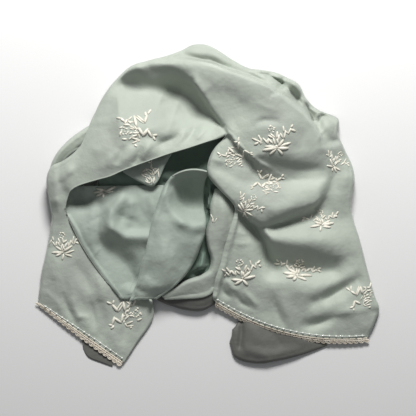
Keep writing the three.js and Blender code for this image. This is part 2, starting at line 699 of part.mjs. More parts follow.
// A closed wall of a given thickness, half of it on each side of the grid.
function wallFrom(grid, thickness) {
  let rows = grid;
  const middle = normalsOf(rows)[Math.floor(rows.length / 2)];
  if (middle[Math.floor(middle.length / 2)].z < 0) rows = rows.map((row) => [...row].reverse());
  const normals = normalsOf(rows);
  const high = rows.length;
  const wide = rows[0].length;
  const spots = [];
  for (const side of [0.5, -0.5]) {
    for (let i = 0; i < high; i += 1) {
      for (let j = 0; j < wide; j += 1) {
        const spot = rows[i][j].clone().addScaledVector(normals[i][j], side * thickness);
        spots.push(spot.x, spot.y, Math.max(floorGap, spot.z));
      }
    }
  }
  const faces = [];
  const top = (i, j) => i * wide + j;
  const under = (i, j) => high * wide + i * wide + j;
  for (let i = 0; i + 1 < high; i += 1) {
    for (let j = 0; j + 1 < wide; j += 1) {
      faces.push(top(i, j), top(i, j + 1), top(i + 1, j + 1), top(i, j), top(i + 1, j + 1), top(i + 1, j));
      faces.push(under(i, j), under(i + 1, j + 1), under(i, j + 1));
      faces.push(under(i, j), under(i + 1, j), under(i + 1, j + 1));
    }
  }
  const border = [];
  for (let j = 0; j < wide - 1; j += 1) border.push([0, j]);
  for (let i = 0; i < high - 1; i += 1) border.push([i, wide - 1]);
  for (let j = wide - 1; j > 0; j -= 1) border.push([high - 1, j]);
  for (let i = high - 1; i > 0; i -= 1) border.push([i, 0]);
  for (let k = 0; k < border.length; k += 1) {
    const [ai, aj] = border[k];
    const [bi, bj] = border[(k + 1) % border.length];
    faces.push(top(ai, aj), under(ai, aj), under(bi, bj), top(ai, aj), under(bi, bj), top(bi, bj));
  }
  const geometry = new THREE.BufferGeometry();
  geometry.setAttribute("position", new THREE.Float32BufferAttribute(spots, 3));
  geometry.setIndex(faces);
  geometry.computeVertexNormals();
  return geometry;
}

function trianglesOf(geometry) {
  const spots = geometry.getAttribute("position");
  const index = geometry.getIndex();
  const point = (k) => new THREE.Vector3().fromBufferAttribute(spots, index.getX(k));
  const triangles = [];
  for (let k = 0; k < index.count; k += 3) triangles.push([point(k), point(k + 1), point(k + 2)]);
  return triangles;
}

// ---------- The lace edging on a short end ----------
function laceAlong(grid, below) {
  const edge = grid[grid.length - 1];
  const before = grid[grid.length - 2];
  const curve = new THREE.CatmullRomCurve3(edge);
  const inside = new THREE.CatmullRomCurve3(before);
  const scallops = Math.round(curve.getLength() / scallopPitch);
  const perScallop = 2;
  const count = scallops * perScallop;
  const rows = [];
  for (let k = 0; k <= count; k += 1) {
    const start = curve.getPointAt(k / count);
    const out = outwards(inside.getPointAt(k / count), start);
    const swell = Math.abs(Math.sin((Math.PI * k) / perScallop));
    const reach = laceWidth - scallopDepth * (1 - swell);
    const near = start.clone().addScaledVector(out, laceGap);
    const far = start.clone().addScaledVector(out, reach);
    const rest = laceWall / 2 + floorGap;
    near.z = Math.max(rest, start.z);
    far.z = Math.max(rest, mix(start.z, rest, laceFall));
    rows.push([near, far]);
  }
  liftClear(rows, widened(below, cell), laceWall);
  return wallFrom(rows, laceWall);
}

// ---------- The hidden layers ----------
// How far out from the middle there is still room under the cloth, on each ray.
function coreRadii(under) {
  const radii = [];
  for (let k = 0; k < coreRays; k += 1) {
    const angle = (2 * Math.PI * k) / coreRays;
    let radius = 60;
    while (radius < halfMap && under[cellAt(radius * Math.cos(angle), radius * Math.sin(angle))] > coreLeast) {
      radius += cell;
    }
    radii.push(radius - 2 * cell);
  }
  // No ray reaches much further than the rays around it, so that the rim stays round.
  return radii.map((radius, k) => {
    const around = [-3, -2, -1, 1, 2, 3].map((step) => radii[(k + step + coreRays) % coreRays] + Math.abs(step) * 6);
    return Math.min(radius, ...around);
  });
}

function coreFrom(under) {
  const radii = coreRadii(narrowed(under, pitch * 1.2));
  const points = [];
  const add = (x, y, z) => points.push(new THREE.Vector3(x, y, z));
  const heightAt = (x, y) => {
    const away = Math.hypot(x - pit.x, y - pit.y) / pit.width;
    const dip = pitDepth * Math.exp(-(away ** 2));
    return coreTop - dip;
  };
  add(0, 0, heightAt(0, 0));
  for (let ring = 1; ring <= coreRings; ring += 1) {
    for (let k = 0; k < coreRays; k += 1) {
      const angle = (2 * Math.PI * k) / coreRays;
      const radius = (radii[k] * ring) / coreRings;
      const x = radius * Math.cos(angle);
      const y = radius * Math.sin(angle);
      add(x, y, heightAt(x, y));
    }
  }
  const ringStart = (ring) => 1 + (ring - 1) * coreRays;
  const faces = [];
  const addRings = (from, to) => {
    for (let ring = from; ring < to; ring += 1) {
      for (let k = 0; k < coreRays; k += 1) {
        const a = ringStart(ring) + k;
        const b = ringStart(ring + 1) + k;
        const turn = (k + 1) % coreRays - k;
        faces.push([a, b, b + turn], [a, b + turn, a + turn]);
      }
    }
  };
  for (let k = 0; k < coreRays; k += 1) faces.push([0, 1 + k, 1 + ((k + 1) % coreRays)]);
  addRings(1, coreRings);
  moveClear(faces.map((face) => face.map((at) => points[at])), under, coreGap, -1);
  for (const point of points) point.z = Math.max(coreThin, point.z);

  const rim = points.slice(ringStart(coreRings));
  const sideRows = 2 * coreLayers;
  for (let row = 1; row <= sideRows; row += 1) {
    const notch = row % 2 === 0 ? layerNotch : 0;
    for (const p of rim) {
      const inward = 1 - notch / Math.hypot(p.x, p.y);
      add(p.x * inward, p.y * inward, p.z * (1 - row / sideRows));
    }
  }
  const rings = coreRings + sideRows;
  addRings(coreRings, rings);
  add(0, 0, 0);
  for (let k = 0; k < coreRays; k += 1) {
    faces.push([ringStart(rings) + ((k + 1) % coreRays), ringStart(rings) + k, points.length - 1]);
  }
  const geometry = new THREE.BufferGeometry().setFromPoints(points);
  geometry.setIndex(faces.flat());
  return geometry;
}

// ---------- The heap ----------
function heap() {
  const group = new THREE.Group();
  const tops = new Map();
  const under = emptyMap(coreTop + clearAbove);
  const addMesh = (name, geometry, material) => {
    const mesh = new THREE.Mesh(geometry, material);
    mesh.name = name;
    group.add(mesh);
  };
  const note = (name, geometry) => {
    const top = emptyMap(0);
    for (const [p, q, r] of trianglesOf(geometry)) {
      spreadOver(p, q, r, (x, y, z) => {
        const at = cellAt(x, y);
        top[at] = Math.max(top[at], z);
        under[at] = Math.min(under[at], z);
      });
    }
    tops.set(name, top);
  };
  const belowOf = (beside) => {
    const below = emptyMap(0);
    for (const [name, top] of tops) {
      if (beside.includes(name)) continue;
      for (let k = 0; k < below.length; k += 1) below[k] = Math.max(below[k], top[k]);
    }
    return below;
  };
  for (const stretch of STRETCHES) {
    const below = belowOf(stretch.beside);
    const grid = layStretch(stretch.shape, below);
    const geometry = wallFrom(grid, wall);
    addMesh(stretch.name, geometry, silk(0xa9b8aa));
    note(stretch.name, geometry);
    if (stretch.name === "left_panel" || stretch.name === "right_panel") {
      const edging = laceAlong(grid, below);
      addMesh(stretch.name.replace("panel", "lace"), edging, lace());
      note(`${stretch.name}_lace`, edging);
    }
  }
  addMesh("hidden_layers", coreFrom(under), silk(0x7f9183));
  return group;
}

// Moves the heap so that the middle of its box is the origin, and it stands on the floor.
function centred(group) {
  const box = new THREE.Box3().setFromObject(group);
  group.position.set(-(box.min.x + box.max.x) / 2, -(box.min.y + box.max.y) / 2, -box.min.z);
  return group;
}

const shawl = new THREE.Group();
shawl.add(centred(heap()));
shawl.updateMatrixWorld(true);

export default shawl;
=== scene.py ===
"""A silk shawl dropped in a loose, twisted heap, seen from straight above.

Sizes are in millimetres, as in the part's own tables, and meshes are made in metres. Each stretch
of cloth is a fine sheet on the form of its solid: it is lofted through a short table of sections,
bent by folds and creases, and laid on the stretches below it. The stretches that run into each
other, from one hem to the other, are then shown as one long sheet.
"""

import math

import bpy
import numpy as np
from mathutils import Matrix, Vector
from mathutils.bvhtree import BVHTree


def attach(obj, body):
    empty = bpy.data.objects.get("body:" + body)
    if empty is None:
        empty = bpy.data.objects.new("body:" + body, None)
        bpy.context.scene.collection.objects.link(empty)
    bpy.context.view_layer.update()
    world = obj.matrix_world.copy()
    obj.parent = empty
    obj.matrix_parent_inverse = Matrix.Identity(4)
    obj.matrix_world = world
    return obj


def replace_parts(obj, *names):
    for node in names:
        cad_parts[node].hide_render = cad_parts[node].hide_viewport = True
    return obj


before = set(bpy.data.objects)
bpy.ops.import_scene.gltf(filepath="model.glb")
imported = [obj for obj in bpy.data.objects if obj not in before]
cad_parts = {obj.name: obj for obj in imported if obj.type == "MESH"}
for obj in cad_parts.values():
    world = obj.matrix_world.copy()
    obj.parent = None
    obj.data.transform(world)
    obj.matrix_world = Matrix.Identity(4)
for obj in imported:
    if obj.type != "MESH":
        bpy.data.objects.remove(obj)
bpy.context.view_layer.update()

# ---------- Sizes, in millimetres ----------
MM = 0.001
TINY = 1e-9  # keeps a length that is divided by over 0
HEAP_SHIFT = np.array([-0.240, -2.722])  # from the tables' middle to the middle of the heap's box
WALL = 1.5  # thickness of the solids' walls, which the sheets keep to
SEAM = 0.3  # air between two pieces
SPACING = 2.6  # spacing of a sheet's points, along and across
CLOTH = 0.45  # thickness of the silk
CELL = 1.5  # cell of the maps that hold how high the cloth lies
HALF_MAP = 288.0  # half the side of those maps
LIP_STEPS = 9  # points round a folded edge
LIP_TURN = 0.62 * math.pi  # how far a folded edge turns over
LIP_REACH = 7.0  # most that a folded edge rounds outwards
LIP_SLOPE = 0.6  # its reach for each millimetre of its drop
LEAST_DROP = 3.0  # least drop of a folded edge
SHAWL_SPACING = 2.5  # spacing of the points of the long sheet
SPREAD_UNDER = 26.0  # how far the long sheet spreads on under the pouch
CURL = 0.7  # how far a cut edge curls down beside a folded stretch of the same edge
LIP_WATCH = 4.0  # how far round a folded edge the cloth below counts
LIP_ROOM = 0.3  # most of a section's width that a folded edge takes
END_ROOM = 6.0  # most that a folded end rounds outwards
FLOOR_GAP = 0.4  # air under an edge that comes down to the floor
TO_FLOOR = 200  # a drop that goes down to whatever lies below
WALL_SHARE = 0.62  # the wall under its middle, on a slope too
LIFT_ROUNDS = 26  # how far a lift spreads over the cloth around it, in points
WAY_ROUNDS = 4  # how much the way that a folded edge faces is evened along it
DROP_ROUNDS = 6  # how much its drop is
FILL_ROUNDS = 16  # how many cells the long sheet's height is carried on past its edges
BLUR_STEP = 0.4  # what each small blur adds to the square of a blur's reach, in cells
LONG_SHARE = 0.6  # how much of the spacing along a stretch comes from its longer side

CORE_RAYS = 180  # points round the hidden layers
CORE_RINGS = 60  # rings from their middle to their rim
CORE_GAP = 0.4  # air between them and the cloth above
CORE_TOP = 46.0  # most that they rise
NO_CLOTH = CORE_TOP + 30  # what the map of the cloth above them holds where there is none
CORE_MIDDLE = 60.0  # how far out they reach at least
CORE_BESIDE = 14.0  # how far their rim keeps from low cloth
CORE_BELOW = 6.0  # how far around a place the cloth above it counts
CORE_INSIDE = 6.0  # how far their rim lies inside the room that there is
CORE_NEAR = 8  # how many rays to each side a ray is kept close to
CORE_STEP = 2.4  # how much longer than the next it may be
CORE_ROUNDS = 6  # how much their top is rounded
CORE_RIM_ROUNDS = 3  # how much their rim is
CORE_LEAST = 9.0  # least room under the cloth that they still fill
CORE_THIN = 4.0  # least height of their rim
CORE_LAYERS = 3  # layers that show at their rim
LAYER_NOTCH = 2.5  # depth of the groove between two layers
PIT = dict(x=-24.0, y=70.0, width=36.0, depth=20.0)  # a hollow in their top, beside the lobe


def table(columns, rows):
    """The rows as one array for each named column."""
    return {name: np.array([row[k] for row in rows], float) for k, name in enumerate(columns)}


# ---------- Tables ----------
# A section runs from a left point to a right point. Crown is the rise between them, peak its place
# from 0, left, to 1, right. Bow moves the middle of the section on, along the stretch. A drop is
# how far a folded edge turns down, and 0 is a cut edge.
SECTION = ["lx", "ly", "lz", "rx", "ry", "rz", "crown", "peak", "bow", "l_drop", "r_drop"]

# A fold follows the line a, b, c. It is a ridge where height is over 0, a trough where it is under.
FOLD = ["ax", "ay", "bx", "by", "cx", "cy", "width", "height"]


def shape(sections, folds, start_drop, end_drop):
    """A stretch: its sections, its folds and how far its first and its last edge turn down."""
    return dict(
        sections=table(SECTION, sections),
        folds=table(FOLD, folds),
        start_drop=start_drop,
        end_drop=end_drop,
    )


# The end that lies on the floor under the right hem.
TAIL_UNDER_HEM = shape(
    sections=[
        [48, -168, 7, 34, -206, 6, 3, 0.5, 0, 3, TO_FLOOR],
        [60, -159, 9, 42, -225, 7, 4, 0.5, 0, 0, TO_FLOOR],
        [81, -162, 10, 72, -233, 7, 4, 0.5, 0, 0, TO_FLOOR],
        [108, -168, 9, 105, -229, 6, 4, 0.5, 0, 0, TO_FLOOR],
        [138, -171, 7, 141, -220, 5, 3, 0.5, 0, 0, TO_FLOOR],
        [168, -174, 5, 177, -207, 4, 2, 0.5, 0, 0, TO_FLOOR],
    ],
    folds=[
        [51, -170, 50, -190, 48, -207, 5, -3],
        [60, -214, 90, -222, 130, -214, 9, 2],
    ],
    start_drop=TO_FLOOR,
    end_drop=2,
)

# The lowest crescent at the front of the heap.
FRONT_CRESCENT = shape(
    sections=[
        [-78, -121, 12, -80, -136, 8, 2, 0.5, 0, 0, TO_FLOOR],
        [-57, -118, 14, -60, -145, 9, 3, 0.5, 0, 0, TO_FLOOR],
        [-27, -115, 15, -33, -153, 10, 4, 0.5, 0, 0, TO_FLOOR],
        [0, -115, 15, -9, -154, 10, 4, 0.5, 0, 0, TO_FLOOR],
        [21, -115, 14, 9, -145, 9, 3, 0.5, 0, 0, TO_FLOOR],
        [36, -120, 12, 25, -137, 8, 2, 0.5, 0, 0, TO_FLOOR],
    ],
    folds=[],
    start_drop=5,
    end_drop=5,
)

# The small turned-under corner below the left hem.
TURNED_CORNER = shape(
    sections=[
        [-190, -188, 1.5, -187, -211, 1.2, 0.5, 0.5, 0, 0, 0],
        [-176, -194, 1.8, -179, -224, 1.2, 0.6, 0.5, 0, 0, 0],
        [-160, -206, 1.8, -160, -232, 1.2, 0.6, 0.5, 0, 0, 0],
        [-145, -219, 1.5, -143, -238, 1.2, 0.5, 0.5, 0, 0, 0],
    ],
    folds=[],
    start_drop=0,
    end_drop=0,
)

# The left end of the shawl, from where it leaves the band on the left down to its hem.
LEFT_PANEL = shape(
    sections=[
        [-234, -12, 25, -211, -16, 25, 4, 0.5, 0, TO_FLOOR, 0],
        [-235, -25, 23, -186, -30, 19, 5, 0.5, 0, TO_FLOOR, 0],
        [-237, -40, 21, -150, -48, 13, 5, 0.5, 0, TO_FLOOR, 0],
        [-243, -70, 17, -104, -98, 10, 5, 0.5, 0, TO_FLOOR, 3],
        [-249, -96, 14, -84, -136, 9, 5, 0.5, 0, TO_FLOOR, 6],
        [-251, -114, 12, -83, -166, 8, 5, 0.45, 0, TO_FLOOR, 6],
        [-253, -129, 9.5, -106, -201, 7, 4, 0.45, 0, TO_FLOOR, 5],
        [-254, -142, 6, -126, -232, 5.5, 2.5, 0.45, 0, 4, 3],
    ],
    folds=[
        [-165, -145, -158, -165, -160, -190, 9, -3],
        [-196, -165, -180, -172, -172, -182, 9, 2.5],
        [-215, -95, -190, -120, -150, -120, 22, 2.5],
        [-128, -165, -122, -190, -128, -212, 10, 2],
    ],
    start_drop=0,
    end_drop=0,
)

# The band at the back of the left side, behind the flap.
BACK_BAND = shape(
    sections=[
        [-172, 127, 34, -160, 96, 26, 3, 0.3, 0, TO_FLOOR, 5],
        [-192, 114, 32, -180, 89, 24, 3, 0.3, 0, TO_FLOOR, 8],
        [-208, 102, 30, -195, 84, 22, 3, 0.3, 0, TO_FLOOR, 9],
        [-225, 84, 28, -209, 74, 20, 3, 0.3, 0, TO_FLOOR, 9],
        [-235, 65, 24, -217, 60, 17, 2, 0.3, 0, TO_FLOOR, 7],
        [-239, 46, 19, -221, 43, 14, 2, 0.3, 0, TO_FLOOR, 5],
    ],
    folds=[],
    start_drop=4,
    end_drop=3,
)

# Three crumpled turns behind the right side.
REAR_CRUMPLE = shape(
    sections=[
        [63, 186, 46, 60, 209, 30, 3, 0.5, 0, 3, TO_FLOOR],
        [81, 174, 49, 87, 204, 32, 4, 0.5, 0, 3, TO_FLOOR],
        [99, 162, 49, 113, 199, 34, 5, 0.6, 0, 3, TO_FLOOR],
        [115, 147, 48, 135, 184, 34, 5, 0.6, 0, 3, TO_FLOOR],
        [130, 133, 46, 144, 165, 32, 4, 0.6, 0, 3, TO_FLOOR],
        [143, 118, 42, 150, 146, 28, 3, 0.6, 0, 3, TO_FLOOR],
    ],
    folds=[
        [84, 194, 96, 186, 106, 178, 6, -9],
        [112, 192, 113, 184, 106, 177, 4, -6],
        [122, 190, 132, 168, 140, 146, 6, 3],
    ],
    start_drop=4,
    end_drop=4,
)

REAR_PLEAT = shape(
    sections=[
        [128, 158, 34, 143, 168, 25, 3, 0.6, 0, 3, TO_FLOOR],
        [142, 137, 38, 157, 154, 28, 4, 0.6, 0, 3, TO_FLOOR],
        [151, 117, 39, 169, 143, 28, 4, 0.6, 0, 3, TO_FLOOR],
        [158, 99, 38, 177, 124, 28, 4, 0.6, 0, 3, TO_FLOOR],
    ],
    folds=[[148, 152, 152, 140, 156, 130, 3.5, -7]],
    start_drop=4,
    end_drop=3,
)

REAR_CORNER = shape(
    sections=[
        [162, 134, 32, 184, 143, 26, 3, 0.6, 0, 3, TO_FLOOR],
        [158, 117, 39, 195, 132, 27, 4, 0.6, 0, 3, TO_FLOOR],
        [160, 99, 41, 193, 110, 28, 4, 0.6, 0, 3, TO_FLOOR],
        [165, 79, 40, 202, 95, 27, 3, 0.6, 0, 3, TO_FLOOR],
    ],
    folds=[
        [173, 138, 182, 136, 193, 133, 3.5, -6],
        [168, 126, 172, 112, 170, 98, 4, -3],
    ],
    start_drop=TO_FLOOR,
    end_drop=4,
)

# The slack pouch below the flap, which lies over the left panel.
POUCH = shape(
    sections=[
        [-204, 33, 22, -66, 34, 38, 2, 0.5, 0, 0, 3],
        [-217, 13, 21, -63, 15, 42, 2, 0.6, 0, 0, 3],
        [-209, -11, 24, -67, -6, 42, 1, 0.6, 0, 2, 3],
        [-200, -32, 27, -72, -30, 38, -1, 0.5, 0, 8, 3],
        [-186, -59, 26, -78, -57, 34, -3, 0.5, 0, 9, 3],
        [-168, -87, 24, -87, -84, 29, -3, 0.5, 0, 9, 3],
        [-150, -111, 22, -96, -108, 24, -2, 0.5, 0, 9, 3],
        [-134, -131, 18, -111, -130, 19, 1, 0.5, 0, 8, 3],
    ],
    folds=[
        [-196, 16, -185, 8, -172, 14, 13, -8],
        [-126, 14, -142, -8, -140, -30, 10, 6],
        [-140, -30, -120, -42, -88, -44, 10, 7],
        [-150, -60, -129, -86, -122, -104, 17, -13],
        [-114, 6, -116, -8, -118, -20, 8, 3],
    ],
    start_drop=0,
    end_drop=TO_FLOOR,
)

# The roll beside the front lobe, which curls round under it at the front.
SIDE_ROLL = shape(
    sections=[
        [9, 24, 46, 28, 25, 44, 5, 0.5, 0, 8, 4],
        [4, 5, 47, 38, 4, 44, 7, 0.45, 0, 12, 4],
        [3, -15, 44, 40, -21, 42, 7, 0.4, 0, 12, 4],
        [-3, -36, 40, 38, -42, 38, 7, 0.4, 0, 14, 3],
        [-1, -57, 36, 34, -63, 28, 7, 0.4, 0, 16, 3],
        [4, -76, 32, 28, -83, 24, 6, 0.4, 0, 16, 3],
        [1, -92, 28, 22, -104, 20, 6, 0.4, 0, 14, 3],
        [-14, -101, 27, 12, -122, 18, 5, 0.35, 0, 12, 5],
        [-33, -108, 26, -6, -133, 18, 4, 0.3, 0, 10, TO_FLOOR],
        [-50, -118, 24, -38, -136, 18, 3, 0.35, 0, 6, TO_FLOOR],
        [-68, -128, 21, -62, -137, 18, 2, 0.5, 0, 4, TO_FLOOR],
    ],
    folds=[],
    start_drop=8,
    end_drop=4,
)

# The front lobe, with a bowl behind its crescent ridge.
FRONT_LOBE = shape(
    sections=[
        [-57, 44, 55, 2, 52, 52, 8, 0.5, -8, 8, 4],
        [-66, 31, 57, -4, 40, 34, -4, 0.4, -4, 14, 3],
        [-72, 16, 59, -6, 20, 24, -6, 0.4, 0, 18, 3],
        [-78, -2, 58, -6, 0, 27, -4, 0.4, 0, 18, 3],
        [-84, -21, 55, -3, -19, 44, 1, 0.5, 0, 16, 12],
        [-88, -42, 50, -6, -42, 46, 5, 0.5, 0, 14, 14],
        [-93, -63, 46, -12, -60, 42, 7, 0.5, 0, 12, 14],
        [-99, -84, 40, -19, -78, 37, 8, 0.5, 0, 12, 12],
        [-104, -105, 33, -31, -97, 33, 8, 0.5, 0, 12, 10],
        [-110, -121, 27, -49, -116, 28, 7, 0.5, 0, 10, 8],
        [-115, -133, 21, -72, -133, 21, 4, 0.5, 0, 8, 8],
    ],
    folds=[
        [-28, 30, -26, 16, -22, 2, 18, -15],
        [-62, 24, -56, 0, -38, -20, 10, 5],
        [-38, -20, -20, -29, -4, -24, 10, 6],
        [-66, -78, -60, -96, -62, -112, 16, 3],
    ],
    start_drop=3,
    end_drop=TO_FLOOR,
)

# The right end of the shawl, from the back of the heap down to its hem.
RIGHT_PANEL = shape(
    sections=[
        [171, 82, 33, 202, 99, 27, 2, 0.5, 0, 3, TO_FLOOR],
        [156, 62, 38, 213, 72, 26, 5, 0.5, 0, 3, TO_FLOOR],
        [135, 39, 41, 219, 42, 26, 6, 0.5, 0, 3, TO_FLOOR],
        [96, 18, 43, 216, 17, 26, 6, 0.5, 0, 3, TO_FLOOR],
        [44, 4, 46, 214, -6, 24, 4, 0.5, 0, 5, TO_FLOOR],
        [34, -27, 43, 223, -36, 23, 8, 0.5, 0, 12, TO_FLOOR],
        [26, -60, 38, 232, -69, 21, 6, 0.5, 0, 14, TO_FLOOR],
        [17, -90, 31, 241, -100, 19, 4, 0.5, 2, 12, TO_FLOOR],
        [10, -113, 23, 250, -133, 17, 6, 0.5, 6, 10, TO_FLOOR],
        [7, -127, 16, 256, -154, 14, 7, 0.5, 12, 8, TO_FLOOR],
        [9, -137, 11, 240, -194, 7, 4, 0.5, 21, 5, 3],
    ],
    folds=[
        [60, -16, 80, -52, 97, -92, 13, -15],
        [92, -40, 135, -48, 190, -52, 20, 9],
        [100, -74, 140, -86, 185, -92, 17, -12],
        [104, -112, 160, -122, 215, -112, 20, 5],
        [158, -140, 190, -124, 222, -108, 9, -6],
        [146, -174, 168, -170, 186, -162, 8, -4],
        [200, -144, 214, -158, 232, -176, 10, 3],
        [100, -26, 130, -16, 158, -6, 9, -6],
        [216, 56, 204, 34, 200, 4, 14, 4],
    ],
    start_drop=6,
    end_drop=0,
)

# The bulging fold below the front fold.
BULGE = shape(
    sections=[
        [24, 106, 60, 66, 104, 52, 4, 0.4, 0, 16, 3],
        [8, 87, 62, 68, 92, 52, 5, 0.35, 0, 18, 3],
        [-1, 62, 62, 71, 80, 52, 6, 0.35, 0, 18, 3],
        [4, 41, 62, 76, 73, 51, 7, 0.3, 0, 18, 3],
        [26, 19, 60, 83, 71, 51, 8, 0.3, 0, 14, 3],
        [47, -3, 58, 92, 71, 52, 8, 0.3, 0, 12, 3],
        [70, -23, 55, 103, 71, 52, 8, 0.3, 0, 9, 3],
        [101, -22, 55, 115, 73, 53, 7, 0.3, 0, 9, 3],
        [126, -13, 54, 126, 76, 53, 8, 0.3, 0, 11, 3],
        [148, -3, 53, 138, 79, 52, 8, 0.32, 0, 12, 3],
        [166, 12, 52, 147, 83, 50, 8, 0.35, 0, 14, 3],
        [177, 36, 49, 154, 90, 48, 7, 0.4, 0, 14, 3],
        [177, 63, 46, 158, 98, 46, 5, 0.4, 0, 12, 3],
    ],
    folds=[
        [78, 56, 115, 46, 160, 50, 15, -7],
        [16, 58, 50, 38, 84, 36, 9, -3],
    ],
    start_drop=6,
    end_drop=5,
)

# The small band that shows between the flap and the pouch.
SMALL_BAND = shape(
    sections=[
        [-130, 66, 46, -124, 52, 45, 1, 0.5, 0, 0, 3],
        [-102, 77, 49, -102, 39, 47, 2, 0.5, 0, 0, 7],
        [-82, 84, 51, -84, 32, 49, 3, 0.5, 0, 0, 6],
        [-66, 88, 52, -74, 40, 51, 3, 0.5, 0, 0, 5],
        [-52, 90, 52, -66, 58, 51, 2, 0.5, 0, 0, 4],
    ],
    folds=[],
    start_drop=2,
    end_drop=8,
)

# The flap at the top left, with a cut long edge, which narrows into the band on the left.
LEFT_FLAP = shape(
    sections=[
        [38, 130, 66, 44, 112, 69, 1, 0.5, 0, 0, 0],
        [15, 156, 62, 12, 102, 71, -1, 0.5, 0, 0, 0],
        [-8, 186, 55, -20, 90, 72, -2, 0.4, 0, 0, 0],
        [-32, 216, 47, -54, 81, 72, 2, 0.6, 0, 4, 0],
        [-57, 228, 58, -80, 72, 71, 9, 0.6, 0, TO_FLOOR, 0],
        [-87, 220, 60, -105, 63, 69, 11, 0.6, 0, TO_FLOOR, 0],
        [-115, 211, 54, -126, 55, 67, 13, 0.6, 0, TO_FLOOR, 0],
        [-139, 190, 44, -144, 47, 63, 12, 0.6, 0, TO_FLOOR, 0],
        [-159, 162, 40, -162, 42, 59, 12, 0.55, 0, TO_FLOOR, 0],
        [-175, 126, 42, -180, 37, 55, 9, 0.5, 0, TO_FLOOR, 0],
        [-189, 93, 42, -194, 32, 52, 6, 0.5, 0, 12, 0],
        [-213, 72, 37, -203, 26, 47, 5, 0.5, 0, 8, 0],
        [-234, 61, 33, -207, 19, 41, 5, 0.5, 0, TO_FLOOR, 0],
        [-241, 40, 31, -211, 6, 36, 5, 0.5, 0, TO_FLOOR, 0],
        [-238, 14, 28, -211, -8, 31, 5, 0.5, 0, TO_FLOOR, 0],
        [-234.2, -11.4, 25, -211.2, -15.4, 26, 4, 0.5, 0, TO_FLOOR, 0],
    ],
    folds=[
        [-122, 184, -90, 182, -56, 178, 17, -18],
        [-56, 178, -22, 162, 12, 130, 16, -15],
        [-150, 60, -118, 76, -84, 86, 11, 3],
        [-68, 98, -92, 106, -112, 96, 7, -3],
        [-40, 106, -20, 116, 2, 112, 8, -2.5],
        [-205, 56, -225, 40, -226, 10, 7, 3],
    ],
    start_drop=0,
    end_drop=0,
)

# The layer at the back of the heap, behind the front fold.
BACK_LAYER = shape(
    sections=[
        [-54, 211, 50, -60, 228, 42, 2, 0.5, 0, 0, TO_FLOOR],
        [-28, 196, 58, -36, 237, 42, 5, 0.5, 0, 0, TO_FLOOR],
        [-2, 188, 61, -18, 244, 42, 7, 0.5, 0, 0, TO_FLOOR],
        [25, 179, 60, 6, 240, 42, 7, 0.5, 0, 0, TO_FLOOR],
        [49, 170, 58, 33, 225, 41, 7, 0.5, 0, 0, TO_FLOOR],
        [70, 161, 56, 58, 208, 41, 6, 0.5, 0, 0, TO_FLOOR],
        [88, 152, 54, 81, 196, 42, 5, 0.5, 0, 0, 14],
        [106, 141, 53, 104, 180, 43, 4, 0.5, 0, 0, 10],
        [122, 130, 52, 122, 160, 44, 3, 0.5, 0, 0, 8],
    ],
    folds=[[-30, 226, 10, 224, 60, 190, 9, 2]],
    start_drop=0,
    end_drop=0,
)

# The fold that lies on top of everything.
FRONT_FOLD = shape(
    sections=[
        [-70, 214, 60, -60, 222, 56, 1, 0.5, 0, 2, 2],
        [-42, 208, 70, -29, 218, 66, 3, 0.5, 0, 6, 4],
        [-23, 186, 74, 1, 213, 72, 4, 0.55, 0, 10, 8],
        [-8, 163, 77, 31, 203, 76, 5, 0.6, 0, 12, 12],
        [8, 141, 79, 61, 192, 77, 6, 0.6, 0, 13, 14],
        [24, 120, 80, 90, 180, 76, 6, 0.6, 0, 13, 14],
        [42, 96, 80, 123, 159, 72, 7, 0.55, 0, 13, 14],
        [61, 77, 79, 154, 126, 66, 8, 0.5, 0, 13, 13],
        [80, 63, 76, 175, 87, 58, 9, 0.45, 0, 12, 11],
        [94, 57, 74, 171, 62, 56, 7, 0.5, 0, 9, 8],
    ],
    folds=[
        [2, 170, 40, 152, 84, 132, 15, -2],
        [36, 112, 70, 118, 120, 122, 14, 3],
    ],
    start_drop=1.5,
    end_drop=13,
)

